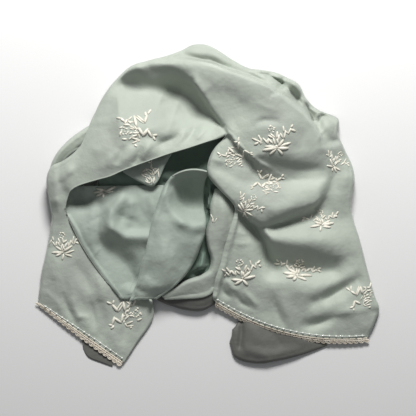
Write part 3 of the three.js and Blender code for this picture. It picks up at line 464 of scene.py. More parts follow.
# A crease follows the line a, b, c and dies out towards both ends. Left and right are its widths on
# the two sides of that line, and height is as for a fold.
CREASE = ["ax", "ay", "bx", "by", "cx", "cy", "left", "right", "height"]
SHAWL_CREASES = table(CREASE, [
    # the flap: its ridge along the outline, the valley below it and the crumples near the hem
    [-134, 196, -86, 215, -38, 208, 12, 12, 16],
    [-60, 212, -24, 192, 4, 154, 8, 12, 5],
    [-134, 158, -92, 160, -46, 146, 26, 34, -19],
    [-124, 191, -86, 191, -46, 186, 12, 12, 4],
    [-70, 164, -34, 148, -2, 114, 20, 26, -15],
    [-104, 120, -64, 112, -28, 128, 20, 14, 3],
    [-78, 90, -60, 99, -37, 106, 6, 9, -6],
    [-31, 118, -38, 105, -50, 92, 5, 5, 4.4],
    [-18, 122, -24, 108, -34, 97, 4, 4, -4],
    [-6, 126, -9, 112, -18, 100, 5, 5, 3.4],
    [-96, 92, -103, 76, -112, 62, 6, 5, -5],
    [-84, 100, -91, 85, -98, 70, 6, 6, 4.6],
    [-122, 94, -129, 78, -136, 62, 5, 6, -3.4],
    [-132, 87, -144, 75, -150, 60, 7, 7, 3],
    [-156, 130, -144, 106, -120, 96, 14, 12, -2],
    [-176, 92, -160, 84, -140, 86, 9, 9, 1.6],
    [-66, 150, -40, 156, -14, 146, 9, 9, 2],
    # the band on the left
    [-218, 80, -221, 57, -221, 30, 5, 5, -2.4],
    [-201, 69, -207, 48, -212, 24, 6, 6, 2.2],
    [-226, 20, -222, -8, -230, -40, 6, 7, 2],
    # the left end
    [-219, -124, -210, -150, -195, -178, 5, 6, -3.6],
    [-204, -130, -199, -150, -189, -168, 5, 5, 2.6],
    [-176, -138, -171, -162, -169, -188, 5, 6, -3.8],
    [-198, -165, -189, -162, -176, -165, 4, 4, 2],
    [-153, -178, -142, -195, -144, -218, 13, 12, 3],
    [-200, -80, -184, -104, -174, -128, 10, 9, -3.6],
    [-168, -98, -158, -120, -160, -142, 9, 8, 3],
    [-236, -60, -226, -84, -232, -108, 8, 8, 2],
    [-130, -150, -122, -176, -128, -208, 7, 8, -4],
    [-112, -142, -104, -160, -112, -184, 6, 6, 1.6],
    [-246, -122, -226, -140, -214, -158, 6, 7, 1.6],
    # the fold at the back, its soft edge on the layer behind it, and the crumples near the outline
    [-64, 222, 0, 213, 99, 174, 3, 17, 7],
    [-54, 226, 4, 218, 96, 182, 6, 3, -10],
    [30, 206, 90, 176, 158, 122, 5, 44, 7],
    [22, 122, 43, 96, 70, 72, 12, 3, 3],
    [-10, 172, 26, 122, 74, 68, 44, 5, -10],
    [-50, 180, -24, 158, 2, 128, 8, 18, -8],
    [20, 180, 46, 156, 70, 150, 14, 16, -3],
    [60, 118, 84, 128, 108, 126, 5, 6, -2],
    [26, 112, 56, 78, 98, 56, 3, 30, 8],
    [72, 212, 126, 192, 160, 148, 5, 12, 16],
    [68, 212, 110, 188, 150, 142, 10, 4, -18],
    [-30, 230, 2, 232, 36, 214, 8, 8, 2],
    [64, 126, 84, 130, 106, 128, 4, 5, -1.8],
    [80, 92, 112, 104, 140, 98, 12, 12, 2.4],
    [118, 132, 134, 108, 140, 84, 9, 9, -2],
    [72, 156, 84, 148, 104, 142, 5, 5, 1.4],
    [86, 202, 101, 194, 120, 187, 3, 9, -14],
    [98, 168, 108, 180, 120, 196, 9, 3, -17],
    [112, 174, 124, 182, 132, 198, 4, 9, 9],
    [128, 158, 138, 166, 146, 178, 3.5, 7, -9],
    [142, 172, 150, 148, 160, 122, 10, 3.5, -16],
    [150, 166, 160, 152, 168, 134, 5, 8, 5],
    [166, 141, 180, 137, 196, 133, 3, 7, -10],
    [158, 118, 166, 130, 171, 142, 3.5, 6, -7],
    [168, 148, 182, 147, 196, 140, 4, 6, 6],
    [164, 100, 172, 118, 174, 136, 4, 9, 5],
    [178, 128, 184, 112, 186, 92, 5, 9, 4],
    [176, 104, 190, 98, 204, 99, 4, 8, -5],
    [168, 88, 184, 92, 204, 100, 3, 13, 4.5],
    [190, 66, 188, 44, 190, 20, 9, 9, -3],
    [200, 76, 206, 56, 204, 30, 6, 6, 2.4],
    # the bulge
    [0, 74, 14, 70, 28, 66, 4, 4, 1.4],
    [26, 96, 50, 88, 70, 72, 8, 8, -2],
    [84, 67, 130, 57, 178, 56, 11, 13, -9],
    [24, 84, 60, 62, 96, 30, 14, 22, -5],
    [50, 20, 100, -3, 150, 8, 18, 14, 5],
    [30, 46, 56, 22, 84, 12, 9, 9, 1],
    # the right end
    [86, -31, 108, -25, 147, -1, 11, 12, -9],
    [80, -44, 122, -52, 190, -48, 15, 16, 5],
    [116, -84, 146, -92, 186, -100, 9, 12, -4],
    [84, -66, 112, -70, 150, -76, 9, 9, 4],
    [168, -142, 192, -127, 222, -110, 9, 9, -10],
    [146, -180, 165, -172, 188, -166, 6, 7, -5],
    [178, -162, 206, -154, 248, -151, 6, 6, 3.4],
    [108, -124, 114, -150, 127, -184, 13, 13, 4],
    [95, -130, 103, -153, 116, -178, 6, 7, -3.6],
    [64, -22, 84, -50, 92, -84, 3, 8, -12],
    [72, -18, 92, -44, 100, -76, 5, 3, 4],
    [18, -113, 24, -126, 36, -135, 4, 5, -4],
    [27, -104, 35, -118, 47, -125, 4, 4, 3.4],
    [40, -128, 50, -142, 66, -150, 4, 4, -3.6],
    [51, -122, 63, -134, 75, -148, 4, 4, 3.2],
    [20, -98, 28, -104, 40, -104, 4, 4, -1.8],
    [36, -34, 52, -38, 70, -38, 3.5, 3.5, 1.2],
    [32, -50, 50, -54, 72, -50, 4, 4, 1],
    [240, -150, 251, -158, 252, -172, 4, 4, -2.4],
    [150, -60, 186, -70, 226, -66, 9, 9, 1.6],
    [186, -30, 200, -52, 214, -84, 10, 10, -1.6],
    [206, -172, 218, -184, 226, -198, 7, 7, 2],
    [64, -160, 92, -172, 124, -188, 8, 8, 1.6],
])
CREASES = dict(
    tail_under_hem=[
        [51, -166, 50, -190, 47, -212, 4, 5, -4],
        [56, -208, 90, -222, 132, -216, 9, 9, 2.4],
        [84, -176, 104, -196, 116, -214, 8, 8, -1.8],
        [62, -172, 72, -190, 74, -206, 8, 8, 1.8],
        [118, -180, 128, -192, 148, -204, 7, 7, 1.4],
    ],
    pouch=[
        [-122, 24, -144, -2, -152, -32, 16, 8, 9],
        [-150, -20, -122, -34, -84, -30, 12, 8, -5],
        [-158, -10, -142, -38, -78, -40, 20, 40, 9],
        [-108, 8, -124, -14, -100, -24, 10, 10, -4],
        [-113, 14, -114, -2, -117, -17, 5, 5, 3],
        [-174, -5, -166, 14, -134, 17, 6, 6, 3],
        [-176, 10, -172, -14, -176, -34, 8, 8, 3],
        [-162, -9, -165, -36, -156, -63, 6, 9, -3.6],
        [-172, -70, -142, -98, -112, -112, 28, 10, -12],
        [-198, -15, -186, -48, -150, -108, 5, 5, -2.6],
        [-206, 9, -188, 12, -172, 7, 10, 9, -8],
        [-104, 10, -98, -8, -84, -26, 7, 7, -2.4],
        [-92, 22, -84, 4, -78, -12, 6, 6, 2],
        [-124, -112, -118, -122, -116, -130, 8, 8, 3],
    ],
    front_lobe=[
        [-50, 50, -52, 24, -44, 0, 8, 5, 4],
        [-63, 26, -57, 2, -40, -20, 7, 8, 4],
        [-34, -8, -16, -20, 4, -24, 6, 10, 4],
        [-8, -2, -2, -12, 4, -26, 7, 5, 4],
        [4, 52, 0, 20, 0, -10, 24, 16, -5],
        [-46, 38, -40, 18, -30, 0, 5, 10, -5],
        [-56, 18, -32, 6, 2, 14, 34, 12, -8],
        [-52, 44, -46, 22, -38, 4, 5, 7, -3],
        [-78, -16, -82, -34, -84, -54, 4, 5, -2],
        [-70, -40, -66, -64, -70, -88, 9, 9, 2.4],
        [-58, -30, -54, -52, -58, -70, 7, 7, -2],
        [-52, -88, -46, -96, -40, -100, 9, 9, -2],
        [-84, -78, -88, -94, -92, -106, 7, 7, -2.4],
        [-30, -52, -34, -74, -44, -92, 9, 9, -2.6],
        [-18, -40, -16, -60, -22, -78, 8, 8, 2.4],
        [-96, -108, -84, -116, -64, -118, 7, 7, 2],
        [-106, -116, -100, -124, -88, -126, 5, 5, -2.4],
    ],
    side_roll=[
        [4, -66, -10, -94, -40, -112, 7, 7, 2.6],
        [20, 14, 24, -16, 18, -50, 6, 6, 1.8],
        [34, -2, 32, -24, 28, -50, 5, 5, -1.6],
    ],
    small_band=[
        [-116, 66, -96, 58, -74, 40, 6, 6, -1.6],
        [-80, 78, -66, 62, -64, 42, 6, 6, 1.6],
    ],
    back_band=[
        [-178, 104, -196, 92, -214, 74, 5, 5, 2],
    ],
)

# The long sheet from hem to hem: up the left side, over the back and down the right side. Left is
# its outer edge and right its inner one. Its height comes from the stretches that it runs through.
COURSE = ["lx", "ly", "rx", "ry", "l_drop", "r_drop", "bow"]
SHAWL_COURSE = table(COURSE, [
    [-254, -142, -126, -232, 4, 3, 0],
    [-253, -129, -106, -201, TO_FLOOR, 5, 0],
    [-251, -114, -83, -166, TO_FLOOR, 6, 0],
    [-249, -96, -84, -136, TO_FLOOR, 6, 0],
    [-243, -70, -104, -98, TO_FLOOR, 3, 0],
    [-237, -40, -142, -48, TO_FLOOR, 1, 0],
    [-235, -25, -170, -32, TO_FLOOR, 1, 0],
    [-234, -12, -194, -20, TO_FLOOR, 1, 0],
    [-238, 14, -211, -8, TO_FLOOR, 1, 0],
    [-241, 40, -211, 6, TO_FLOOR, 1, 0],
    [-234, 61, -207, 19, TO_FLOOR, 1, 0],
    [-213, 72, -203, 26, 22, 1, 0],
    [-189, 93, -194, 32, 26, 1, 0],
    [-175, 126, -180, 37, TO_FLOOR, 1, 0],
    [-159, 162, -162, 42, TO_FLOOR, 1, 0],
    [-139, 190, -144, 47, TO_FLOOR, 1, 0],
    [-115, 211, -126, 55, TO_FLOOR, 1, 0],
    [-87, 220, -105, 63, TO_FLOOR, 1, 0],
    [-57, 228, -80, 72, TO_FLOOR, 1, 0],
    [-38, 236, -57, 80, TO_FLOOR, 1, 0],
    [-20, 244, -30, 88, TO_FLOOR, 1, 0],
    [4, 241, -6, 96, TO_FLOOR, 1, 0],
    [40, 219, 14, 102, TO_FLOOR, 2, 0],
    [64, 208, 25, 106, TO_FLOOR, 8, 0],
    [100, 203, 22, 101, TO_FLOOR, 14, 0],
    [134, 185, 12, 92, TO_FLOOR, 16, 0],
    [147, 163, 5, 81, TO_FLOOR, 18, 0],
    [166, 146, 1, 70, TO_FLOOR, 18, 0],
    [194, 134, -1, 58, TO_FLOOR, 18, 0],
    [195, 110, 1, 47, TO_FLOOR, 18, 0],
    [204, 88, 8, 37, TO_FLOOR, 16, 0],
    [216, 62, 20, 24, TO_FLOOR, 14, 0],
    [219, 42, 31, 13, TO_FLOOR, 12, 0],
    [216, 20, 39, 2, TO_FLOOR, 10, 0],
    [215, -3, 39, -9, TO_FLOOR, 8, 0],
    [219, -22, 35, -23, TO_FLOOR, 12, 0],
    [226, -44, 29, -43, TO_FLOOR, 13, 0],
    [232, -66, 23, -64, TO_FLOOR, 14, 0],
    [237, -86, 18, -85, TO_FLOOR, 13, 0],
    [243, -108, 11, -106, TO_FLOOR, 12, -2],
    [250, -133, 8, -125, TO_FLOOR, 10, -7],
    [256, -154, 7, -133, TO_FLOOR, 8, -13],
    [240, -194, 9, -138, 3, 5, -21],
])
# How far along its course the inner edge of the long sheet shows its cut hem.
HEM_START = 8.4
HEM_END = 21.6
SHAWL_NODES = [
    "left_panel",
    "left_flap",
    "back_layer",
    "front_fold",
    "bulge",
    "right_panel",
    "rear_crumple",
    "rear_pleat",
    "rear_corner",
]

# The low turns at the front get a far darker copy of the silk, as painted shade for the shadow they
# lie in at the foot of the heap. The others lie deep in the heap and get a darker, greener copy of
# the silk, as painted shade.
LOW_TURNS = ["tail_under_hem", "front_crescent", "turned_corner"]
DEEP_IN_HEAP = ["pouch", "front_lobe", "small_band"]

# Where one stretch of the long sheet runs softly into the next: a line, how far it reaches and how
# soft the cloth is there, as the blur of its height.
SOFT = ["ax", "ay", "bx", "by", "radius", "softness"]
SOFT_PLACES = table(SOFT, [
    [-223, -13, -200, -25, 22, 8],
    [-80, 216, -34, 206, 24, 8],
    [92, 62, 172, 64, 24, 12],
    [172, 66, 178, 96, 14, 6],
    [172, 20, 180, 56, 10, 4],
    [76, -16, 150, -6, 12, 5],
    [48, 8, 70, -14, 10, 4],
    [200, 62, 206, 84, 18, 7],
])
SOFT_LEVELS = [1.7, 4.0, 8.0, 14.0]

# ---------- Maps of how high the cloth lies ----------
MAP_SIDE = int(round(2 * HALF_MAP / CELL))


def empty_map(value):
    return np.full((MAP_SIDE, MAP_SIDE), float(value))


def cells_at(x, y):
    column = np.clip(((x + HALF_MAP) / CELL).astype(int), 0, MAP_SIDE - 1)
    row = np.clip(((y + HALF_MAP) / CELL).astype(int), 0, MAP_SIDE - 1)
    return row, column


def shifted(field, rows, columns, outside):
    """The field moved by whole cells, with a value for what comes in from outside."""
    moved = np.full_like(field, outside)
    high, wide = field.shape
    to_rows = slice(max(0, rows), high + min(0, rows))
    from_rows = slice(max(0, -rows), high + min(0, -rows))
    to_columns = slice(max(0, columns), wide + min(0, columns))
    from_columns = slice(max(0, -columns), wide + min(0, -columns))
    moved[to_rows, to_columns] = field[from_rows, from_columns]
    return moved


def widened(field, reach, outside=0.0, pick=np.maximum):
    """The highest, or lowest, value of a map within a reach of each cell."""
    cells = math.ceil(reach / CELL)
    wide = field.copy()
    for rows in range(-cells, cells + 1):
        for columns in range(-cells, cells + 1):
            if 0 < rows * rows + columns * columns <= cells * cells:
                wide = pick(wide, shifted(field, rows, columns, outside))
    return wide


def blurred(field):
    """Each value averaged with its four neighbours; the border keeps its own."""
    padded = np.pad(field, 1, mode="edge")
    around = padded[:-2, 1:-1] + padded[2:, 1:-1] + padded[1:-1, :-2] + padded[1:-1, 2:]
    return field * 0.2 + around * 0.2


def between_points(grid):
    """The grid with the points halfway between its own added."""
    rows = np.empty((grid.shape[0] * 2 - 1, *grid.shape[1:]))
    rows[::2] = grid
    rows[1::2] = (grid[1:] + grid[:-1]) / 2
    both = np.empty((rows.shape[0], grid.shape[1] * 2 - 1, grid.shape[2]))
    both[:, ::2] = rows
    both[:, 1::2] = (rows[:, 1:] + rows[:, :-1]) / 2
    return both


# ---------- Wrinkles ----------
CREASE_TIP = 0.02  # share of a crease at each end that no longer fades
CREASE_FADE = 0.7  # how late a crease dies out towards its ends
CREASE_SHARPNESS = 1.7  # how sharp it is along its middle
LATTICE = 64  # how many values the noise has each way before it repeats
SWAY = dict(height=9, spacing=60)  # how the wrinkles of slack cloth wander to the side
LONG_WRINKLE = dict(height=1.25, long=85, wide=17)
SHORT_WRINKLE = dict(height=0.5, long=34, wide=8.5)


def distance_to_line(x, y, ax, ay, bx, by):
    """How far points are from a straight line, and how far along it they are, from 0 to 1."""
    along = ((x - ax) * (bx - ax) + (y - ay) * (by - ay)) / ((bx - ax) ** 2 + (by - ay) ** 2)
    t = np.clip(along, 0, 1)
    return np.hypot(x - (ax + (bx - ax) * t), y - (ay + (by - ay) * t)), t


def rows_of(columns):
    """Each row of a table as a dictionary."""
    count = len(next(iter(columns.values())))
    return [{name: values[k] for name, values in columns.items()} for k in range(count)]


def side_of_line(x, y, ax, ay, bx, by):
    """Over 0 where points lie to the left of a straight line."""
    return (bx - ax) * (y - ay) - (by - ay) * (x - ax)


def on_both_legs(measure, row, x, y):
    """A measure from the straight line a to b of a row, and from the line b to c."""
    a, b, c = ((row[name + "x"], row[name + "y"]) for name in "abc")
    return measure(x, y, *a, *b), measure(x, y, *b, *c)


def fold_rise(folds, x, y):
    """Folds are soft, and as high at their ends as in their middle."""
    rise = np.zeros_like(x)
    for f in rows_of(folds):
        (first, _), (second, _) = on_both_legs(distance_to_line, f, x, y)
        rise += f["height"] * np.exp(-((np.minimum(first, second) / f["width"]) ** 2))
    return rise


def crease_rise(creases, x, y):
    """Creases are sharp along their middle and fade towards their ends."""
    rise = np.zeros_like(x)
    for c in rows_of(creases):
        (first, along_first), (second, along_second) = on_both_legs(distance_to_line, c, x, y)
        first_side, second_side = on_both_legs(side_of_line, c, x, y)
        along = np.where(first < second, along_first, 1 + along_second) / 2
        on_left = np.where(first < second, first_side, second_side) > 0
        fade = np.sin(math.pi * np.clip(along, CREASE_TIP, 1 - CREASE_TIP)) ** CREASE_FADE
        away = np.minimum(first, second) / np.where(on_left, c["left"], c["right"])
        rise += c["height"] * fade * np.exp(-(away**CREASE_SHARPNESS))
    return rise


def value_noise(x, y, seed):
    """Smooth noise from -1 to 1 over a lattice with a spacing of 1."""
    lattice = np.random.RandomState(seed).uniform(-1, 1, (LATTICE, LATTICE))
    fx = np.floor(x)
    fy = np.floor(y)
    tx = x - fx
    ty = y - fy
    tx = tx * tx * (3 - 2 * tx)
    ty = ty * ty * (3 - 2 * ty)
    ix = fx.astype(int) % LATTICE
    iy = fy.astype(int) % LATTICE
    jx = (ix + 1) % LATTICE
    jy = (iy + 1) % LATTICE
    low = lattice[iy, ix] * (1 - tx) + lattice[iy, jx] * tx
    high = lattice[jy, ix] * (1 - tx) + lattice[jy, jx] * tx
    return low * (1 - ty) + high * ty


def ripple(x, y, way, seed):
    """Slack in the cloth: long soft wrinkles that run along a way, and small dimples."""
    along = x * math.cos(way) + y * math.sin(way)
    across = y * math.cos(way) - x * math.sin(way)
    sway = value_noise(x / SWAY["spacing"], y / SWAY["spacing"], seed + 7)
    across = across + SWAY["height"] * sway
    total = np.zeros_like(x)
    for wrinkle, own_seed in ((LONG_WRINKLE, seed), (SHORT_WRINKLE, seed + 3)):
        noise = value_noise(along / wrinkle["long"], across / wrinkle["wide"], own_seed)
        total += wrinkle["height"] * noise * np.abs(noise)
    return total


# ---------- One stretch ----------
def smooth(values, u):
    """A smooth value between the rows of a table."""
    last = len(values) - 1
    k = np.clip(np.floor(u).astype(int), 0, last - 1)
    t = u - k
    p0 = values[np.maximum(0, k - 1)]
    p1 = values[k]
    p2 = values[k + 1]
    p3 = values[np.minimum(last, k + 2)]
    bend = (p2 - p0) * t
    bend += (2 * p0 - 5 * p1 + 4 * p2 - p3) * t**2
    bend += (3 * p1 - p0 - 3 * p2 + p3) * t**3
    return p1 + 0.5 * bend


def sections_at(rows, u):
    places = np.arange(len(rows["lx"]))
    drops = ("l_drop", "r_drop")
    return {
        name: np.interp(u, places, values) if name in drops else smooth(values, u)
        for name, values in rows.items()
    }


def places_along(rows, spacing=SPACING):
    """Places along the table, spaced evenly over the cloth."""
    left = np.hypot(np.diff(rows["lx"]), np.diff(rows["ly"]))
    right = np.hypot(np.diff(rows["rx"]), np.diff(rows["ry"]))
    steps = np.maximum(left, right) * LONG_SHARE + np.minimum(left, right) * (1 - LONG_SHARE)
    far = np.concatenate([[0], np.cumsum(steps)])
    count = max(4, int(round(far[-1] / spacing)))
    return np.interp(np.linspace(0, far[-1], count + 1), far, np.arange(len(far)))


def widths_of(s):
    return np.hypot(s["rx"] - s["lx"], s["ry"] - s["ly"])


def reach_of(drop, room):
    return np.minimum(np.minimum(LIP_REACH, drop * LIP_SLOPE), room)


def shares_across(s, across):
    """How far across its section each point lies, between the folded edges."""
    width = widths_of(s)[:, None]
    start = reach_of(s["l_drop"][:, None], width * LIP_ROOM)
    end = width - reach_of(s["r_drop"][:, None], width * LIP_ROOM)
    return (start + (end - start) * np.linspace(0, 1, across + 1)[None, :]) / width


def spread_across(s, across):
    """Where the points of the sheet lie, seen from above."""
    v = shares_across(s, across)
    over_x = (s["rx"] - s["lx"])[:, None]
    over_y = (s["ry"] - s["ly"])[:, None]
    bow = s["bow"][:, None] * 4 * v * (1 - v) / widths_of(s)[:, None]
    x = s["lx"][:, None] + over_x * v + over_y * bow
    y = s["ly"][:, None] + over_y * v - over_x * bow
    return x, y


def middle_of(stretch, s, across):
    """The middle of the sheet, without its folded edges, as rows of points."""
    v = shares_across(s, across)
    x, y = spread_across(s, across)
    power = (math.log(0.5) / np.log(s["peak"]))[:, None]
    crown = s["crown"][:, None] * np.sin(math.pi * np.clip(v, 0, 1) ** power)
    z = s["lz"][:, None] * (1 - v) + s["rz"][:, None] * v + crown
    z = z + fold_rise(stretch["folds"], x, y) + crease_rise(stretch["creases"], x, y)
    z = z + stretch["slack"] * ripple(x, y, stretch["way"], stretch["seed"])
    return np.stack([x, y, z], axis=-1)


def lift_clear(grid, below):
    """Lifts a sheet off what lies below it, and eases the cloth around each lift."""
    needed = below[cells_at(grid[..., 0], grid[..., 1])] + SEAM + WALL * WALL_SHARE
    lift = np.maximum(0, needed - grid[..., 2])
    eased = lift.copy()
    for _ in range(LIFT_ROUNDS):
        eased = np.maximum(lift, blurred(eased))
    grid[..., 2] += eased


def evened(values, rounds):
    """A row of values, each averaged with those beside it, a few times."""
    for _ in range(rounds):
        padded = np.pad(values, 1, mode="edge")
        values = (padded[:-2] + 2 * padded[1:-1] + padded[2:]) / 4
    return values


def lip_rows(edge, inner, wanted, room, below_wide):
    """The rows of a folded edge: it rounds outwards, turns down and tucks in a little."""
    out = edge[:, :2] - inner[:, :2]
    out = out / np.maximum(TINY, np.linalg.norm(out, axis=1))[:, None]
    out = np.stack([evened(out[:, 0], WAY_ROUNDS), evened(out[:, 1], WAY_ROUNDS)], axis=1)
    out = out / np.maximum(TINY, np.linalg.norm(out, axis=1))[:, None]
    reach = reach_of(wanted, room)
    tip = edge[:, :2] + out * reach[:, None]
    at_tip = below_wide[cells_at(tip[:, 0], tip[:, 1])]
    at_edge = below_wide[cells_at(edge[:, 0], edge[:, 1])]
    floor = np.maximum(FLOOR_GAP + WALL / 2, np.maximum(at_tip, at_edge) + SEAM)
    least = np.minimum(LEAST_DROP, wanted)
    edge[:, 2] = np.maximum(edge[:, 2], floor + least)
    drop = np.maximum(0, np.minimum(wanted, edge[:, 2] - floor))
    drop = np.minimum(drop, evened(drop, DROP_ROUNDS))
    rows = []
    for k in range(1, LIP_STEPS + 1):
        turn = LIP_TURN * k / LIP_STEPS
        down = drop * (1 - math.cos(turn)) / (1 - math.cos(LIP_TURN))
        spot = edge[:, :2] + out * (reach * math.sin(turn))[:, None]
        rows.append(np.column_stack([spot, edge[:, 2] - down]))
    return rows


def with_side_lips(grid, s, below_wide, always=False):
    room = widths_of(s) * LIP_ROOM
    columns = [grid[:, j] for j in range(grid.shape[1])]
    if always or s["l_drop"].max() > 0:
        left = lip_rows(columns[0], columns[1], np.maximum(CURL, s["l_drop"]), room, below_wide)
        columns = left[::-1] + columns
    if always or s["r_drop"].max() > 0:
        right = lip_rows(columns[-1], columns[-2], np.maximum(CURL, s["r_drop"]), room, below_wide)
        columns = columns + right
    return np.stack(columns, axis=1)


def with_end_lip(grid, wanted, below_wide):
    drop = np.full(grid.shape[1], float(wanted))
    edge = grid[-1].copy()
    rows = lip_rows(edge, grid[-2], drop, np.full(grid.shape[1], END_ROOM), below_wide)
    rows = [np.column_stack([row[:, :2], np.minimum(row[:, 2], grid[-1][:, 2])]) for row in rows]
    return np.concatenate([grid, np.stack(rows)])


def lay_stretch(stretch, below):
    """The grid of a whole stretch, laid on what is below."""
    rows = stretch["sections"]
    s = sections_at(rows, places_along(rows))
    across = max(4, int(round(widths_of(s).max() / SPACING)))
    grid = middle_of(stretch, s, across)
    lift_clear(grid, widened(below, CELL))
    wide = widened(below, LIP_WATCH)
    grid = with_side_lips(grid, s, wide)
    if stretch["end_drop"] > 0:
        grid = with_end_lip(grid, stretch["end_drop"], wide)
    if stretch["start_drop"] > 0:
        grid = with_end_lip(grid[::-1], stretch["start_drop"], wide)[::-1]
    return grid


# ---------- The heap ----------
# The stretches from the bottom of the heap to its top. Way is the angle along which the slack of a
# stretch runs, in degrees, and slack is how much of it there is.
STRETCHES = [
    ("tail_under_hem", TAIL_UNDER_HEM, -5, 0.7),
    ("front_crescent", FRONT_CRESCENT, 5, 0.6),
    ("turned_corner", TURNED_CORNER, -35, 0.5),
    ("left_panel", LEFT_PANEL, -70, 1.0),
    ("back_band", BACK_BAND, 50, 0.8),
    ("rear_crumple", REAR_CRUMPLE, -40, 1.3),
    ("rear_pleat", REAR_PLEAT, -60, 1.0),
    ("rear_corner", REAR_CORNER, -80, 1.0),
    ("pouch", POUCH, -75, 1.2),
    ("side_roll", SIDE_ROLL, -95, 0.8),
    ("front_lobe", FRONT_LOBE, -100, 0.7),
    ("right_panel", RIGHT_PANEL, -80, 1.2),
    ("bulge", BULGE, 10, 0.8),
    ("small_band", SMALL_BAND, 60, 0.6),
    ("left_flap", LEFT_FLAP, 20, 1.0),
    ("back_layer", BACK_LAYER, -30, 0.8),
    ("front_fold", FRONT_FOLD, -55, 0.8),
]


class Heap:
    """Keeps how high and how low each stretch lies."""

    def __init__(self):
        self.tops = {}
        self.under = empty_map(NO_CLOTH)

    def note(self, name, grid):
        points = between_points(between_points(grid)).reshape(-1, 3)
        cells = cells_at(points[:, 0], points[:, 1])
        top = empty_map(0)
        np.maximum.at(top, cells, points[:, 2] + WALL / 2)
        np.minimum.at(self.under, cells, points[:, 2] - WALL / 2)
        self.tops[name] = top

    def covered(self):
        """Where stretches that are laid on top of the left end of the long sheet cover it."""
        order = list(self.tops)
        panel = widened(self.tops["left_panel"], SPREAD_UNDER) > 0
        later = empty_map(0)
        for name in order[order.index("left_panel") + 1:]:
            if name not in SHAWL_NODES:
                later = np.maximum(later, self.tops[name])
        flap = self.tops["left_flap"] > 0
        return panel & ~flap & (later > 0)

    def below(self, leave_out=()):
        height = empty_map(0)
        for name, top in self.tops.items():
            if name not in leave_out:
                height = np.maximum(height, top)
        return height


def lay_all():
    heap = Heap()
    grids = {}
    for seed, (name, form, way, slack) in enumerate(STRETCHES):
        creases = table(CREASE, CREASES.get(name, []))
        stretch = dict(form, way=math.radians(way), slack=slack, seed=seed, creases=creases)
        below = heap.below(["left_panel"] if name == "left_flap" else [])
        grids[name] = lay_stretch(stretch, below)
        heap.note(name, grids[name])
    return grids, heap


# ---------- The long sheet ----------
def filled_out(height, known, rounds):
    """The height carried on a little way past its edges."""
    for _ in range(rounds):
        total = np.zeros_like(height)
        count = np.zeros_like(height)
        for rows, columns in ((0, 1), (0, -1), (1, 0), (-1, 0), (1, 1), (1, -1), (-1, 1), (-1, -1)):
            there = shifted(known.astype(float), rows, columns, 0)
            total += shifted(height, rows, columns, 0) * there
            count += there
        fresh = (count > 0) & ~known
        height = np.where(fresh, total / np.maximum(1, count), height)
        known = known | fresh
    return height


def blur_rounds(softness):
    """How many small blurs make one of this reach."""
    return int(round((softness / CELL) ** 2 / BLUR_STEP))


def shawl_height(tops):
    """How high the long sheet lies: its stretches in one, soft where one runs into the next."""
    union = empty_map(0)
    for name in SHAWL_NODES:
        union = np.maximum(union, tops[name])
    height = filled_out(union, union > 0, FILL_ROUNDS)
    middle = (np.arange(MAP_SIDE) + 0.5) * CELL - HALF_MAP
    x, y = np.meshgrid(middle, middle)
    softness = np.full_like(union, SOFT_LEVELS[0])
    for place in rows_of(SOFT_PLACES):
        away, _ = distance_to_line(x, y, place["ax"], place["ay"], place["bx"], place["by"])
        here = place["softness"] * np.exp(-((away / place["radius"]) ** 4))
        softness = np.maximum(softness, here)
    levels = []
    done = 0
    for level in SOFT_LEVELS:
        for _ in range(blur_rounds(level) - done):
            height = blurred(height)
        done = blur_rounds(level)
        levels.append(height)
    result = levels[0].copy()
    for k in range(len(levels) - 1):
        share = (softness - SOFT_LEVELS[k]) / (SOFT_LEVELS[k + 1] - SOFT_LEVELS[k])
        share = np.clip(share, 0, 1)
        result = result * (1 - share) + levels[k + 1] * share
    return result - WALL / 2


def sampled(field, x, y):
    """The value of a map between the middles of its cells."""
    column = np.clip((x + HALF_MAP) / CELL - 0.5, 0, MAP_SIDE - 1.001)
    row = np.clip((y + HALF_MAP) / CELL - 0.5, 0, MAP_SIDE - 1.001)
    i = row.astype(int)
    j = column.astype(int)
    t = row - i
    u = column - j
    low = field[i, j] * (1 - u) + field[i, j + 1] * u
    high = field[i + 1, j] * (1 - u) + field[i + 1, j + 1] * u
    return low * (1 - t) + high * t


def lay_shawl(heap):
    """The long sheet on its course, over the stretches that lie inside it."""
    course = SHAWL_COURSE
    u = places_along(course, SHAWL_SPACING)
    places = np.arange(len(course["lx"]))
    s = {
        name: np.interp(u, places, values) if name.endswith("drop") else smooth(values, u)
        for name, values in course.items()
    }
    across = int(round(widths_of(s).max() / SHAWL_SPACING))
    x, y = spread_across(s, across)
    z = sampled(shawl_height(heap.tops), x, y) + crease_rise(SHAWL_CREASES, x, y)
    grid = np.stack([x, y, z], axis=-1)
    inside = heap.below([*SHAWL_NODES, *LOW_TURNS])
    covered = heap.covered()
    on_top = np.where(covered, heap.tops["pouch"], 0)[cells_at(x, y)]
    lowered = np.minimum(grid[..., 2], on_top - 2 * WALL - SEAM)
    grid[..., 2] = np.where(on_top > 0, lowered, grid[..., 2])
    lift_clear(grid, np.where(covered, 0, inside))
    wide = widened(heap.below(SHAWL_NODES), LIP_WATCH)
    grid = with_side_lips(grid, s, np.where(covered, 0, wide), always=True)
    return grid


# ---------- Meshes ----------
def in_frame(points):
    """Points of the tables as points of the frame, in metres."""
    moved = np.array(points, float)
    moved[..., :2] += HEAP_SHIFT
    return moved * MM


def mesh_object(name, points, faces, uv=None):
    mesh = bpy.data.meshes.new(name)
    mesh.from_pydata(np.asarray(points).tolist(), [], list(map(tuple, faces)))
    if uv is not None:
        layer = mesh.uv_layers.new(name="cloth")
        corners = np.array([loop.vertex_index for loop in mesh.loops])
        layer.data.foreach_set("uv", np.asarray(uv, np.float32)[corners].ravel())
    mesh.shade_smooth()
    piece = bpy.data.objects.new(name, mesh)
    bpy.context.scene.collection.objects.link(piece)
    return piece


def grid_faces(high, wide):
    first = (np.arange(high - 1)[:, None] * wide + np.arange(wide - 1)[None, :]).ravel()
    return np.column_stack([first, first + 1, first + wide + 1, first + wide])


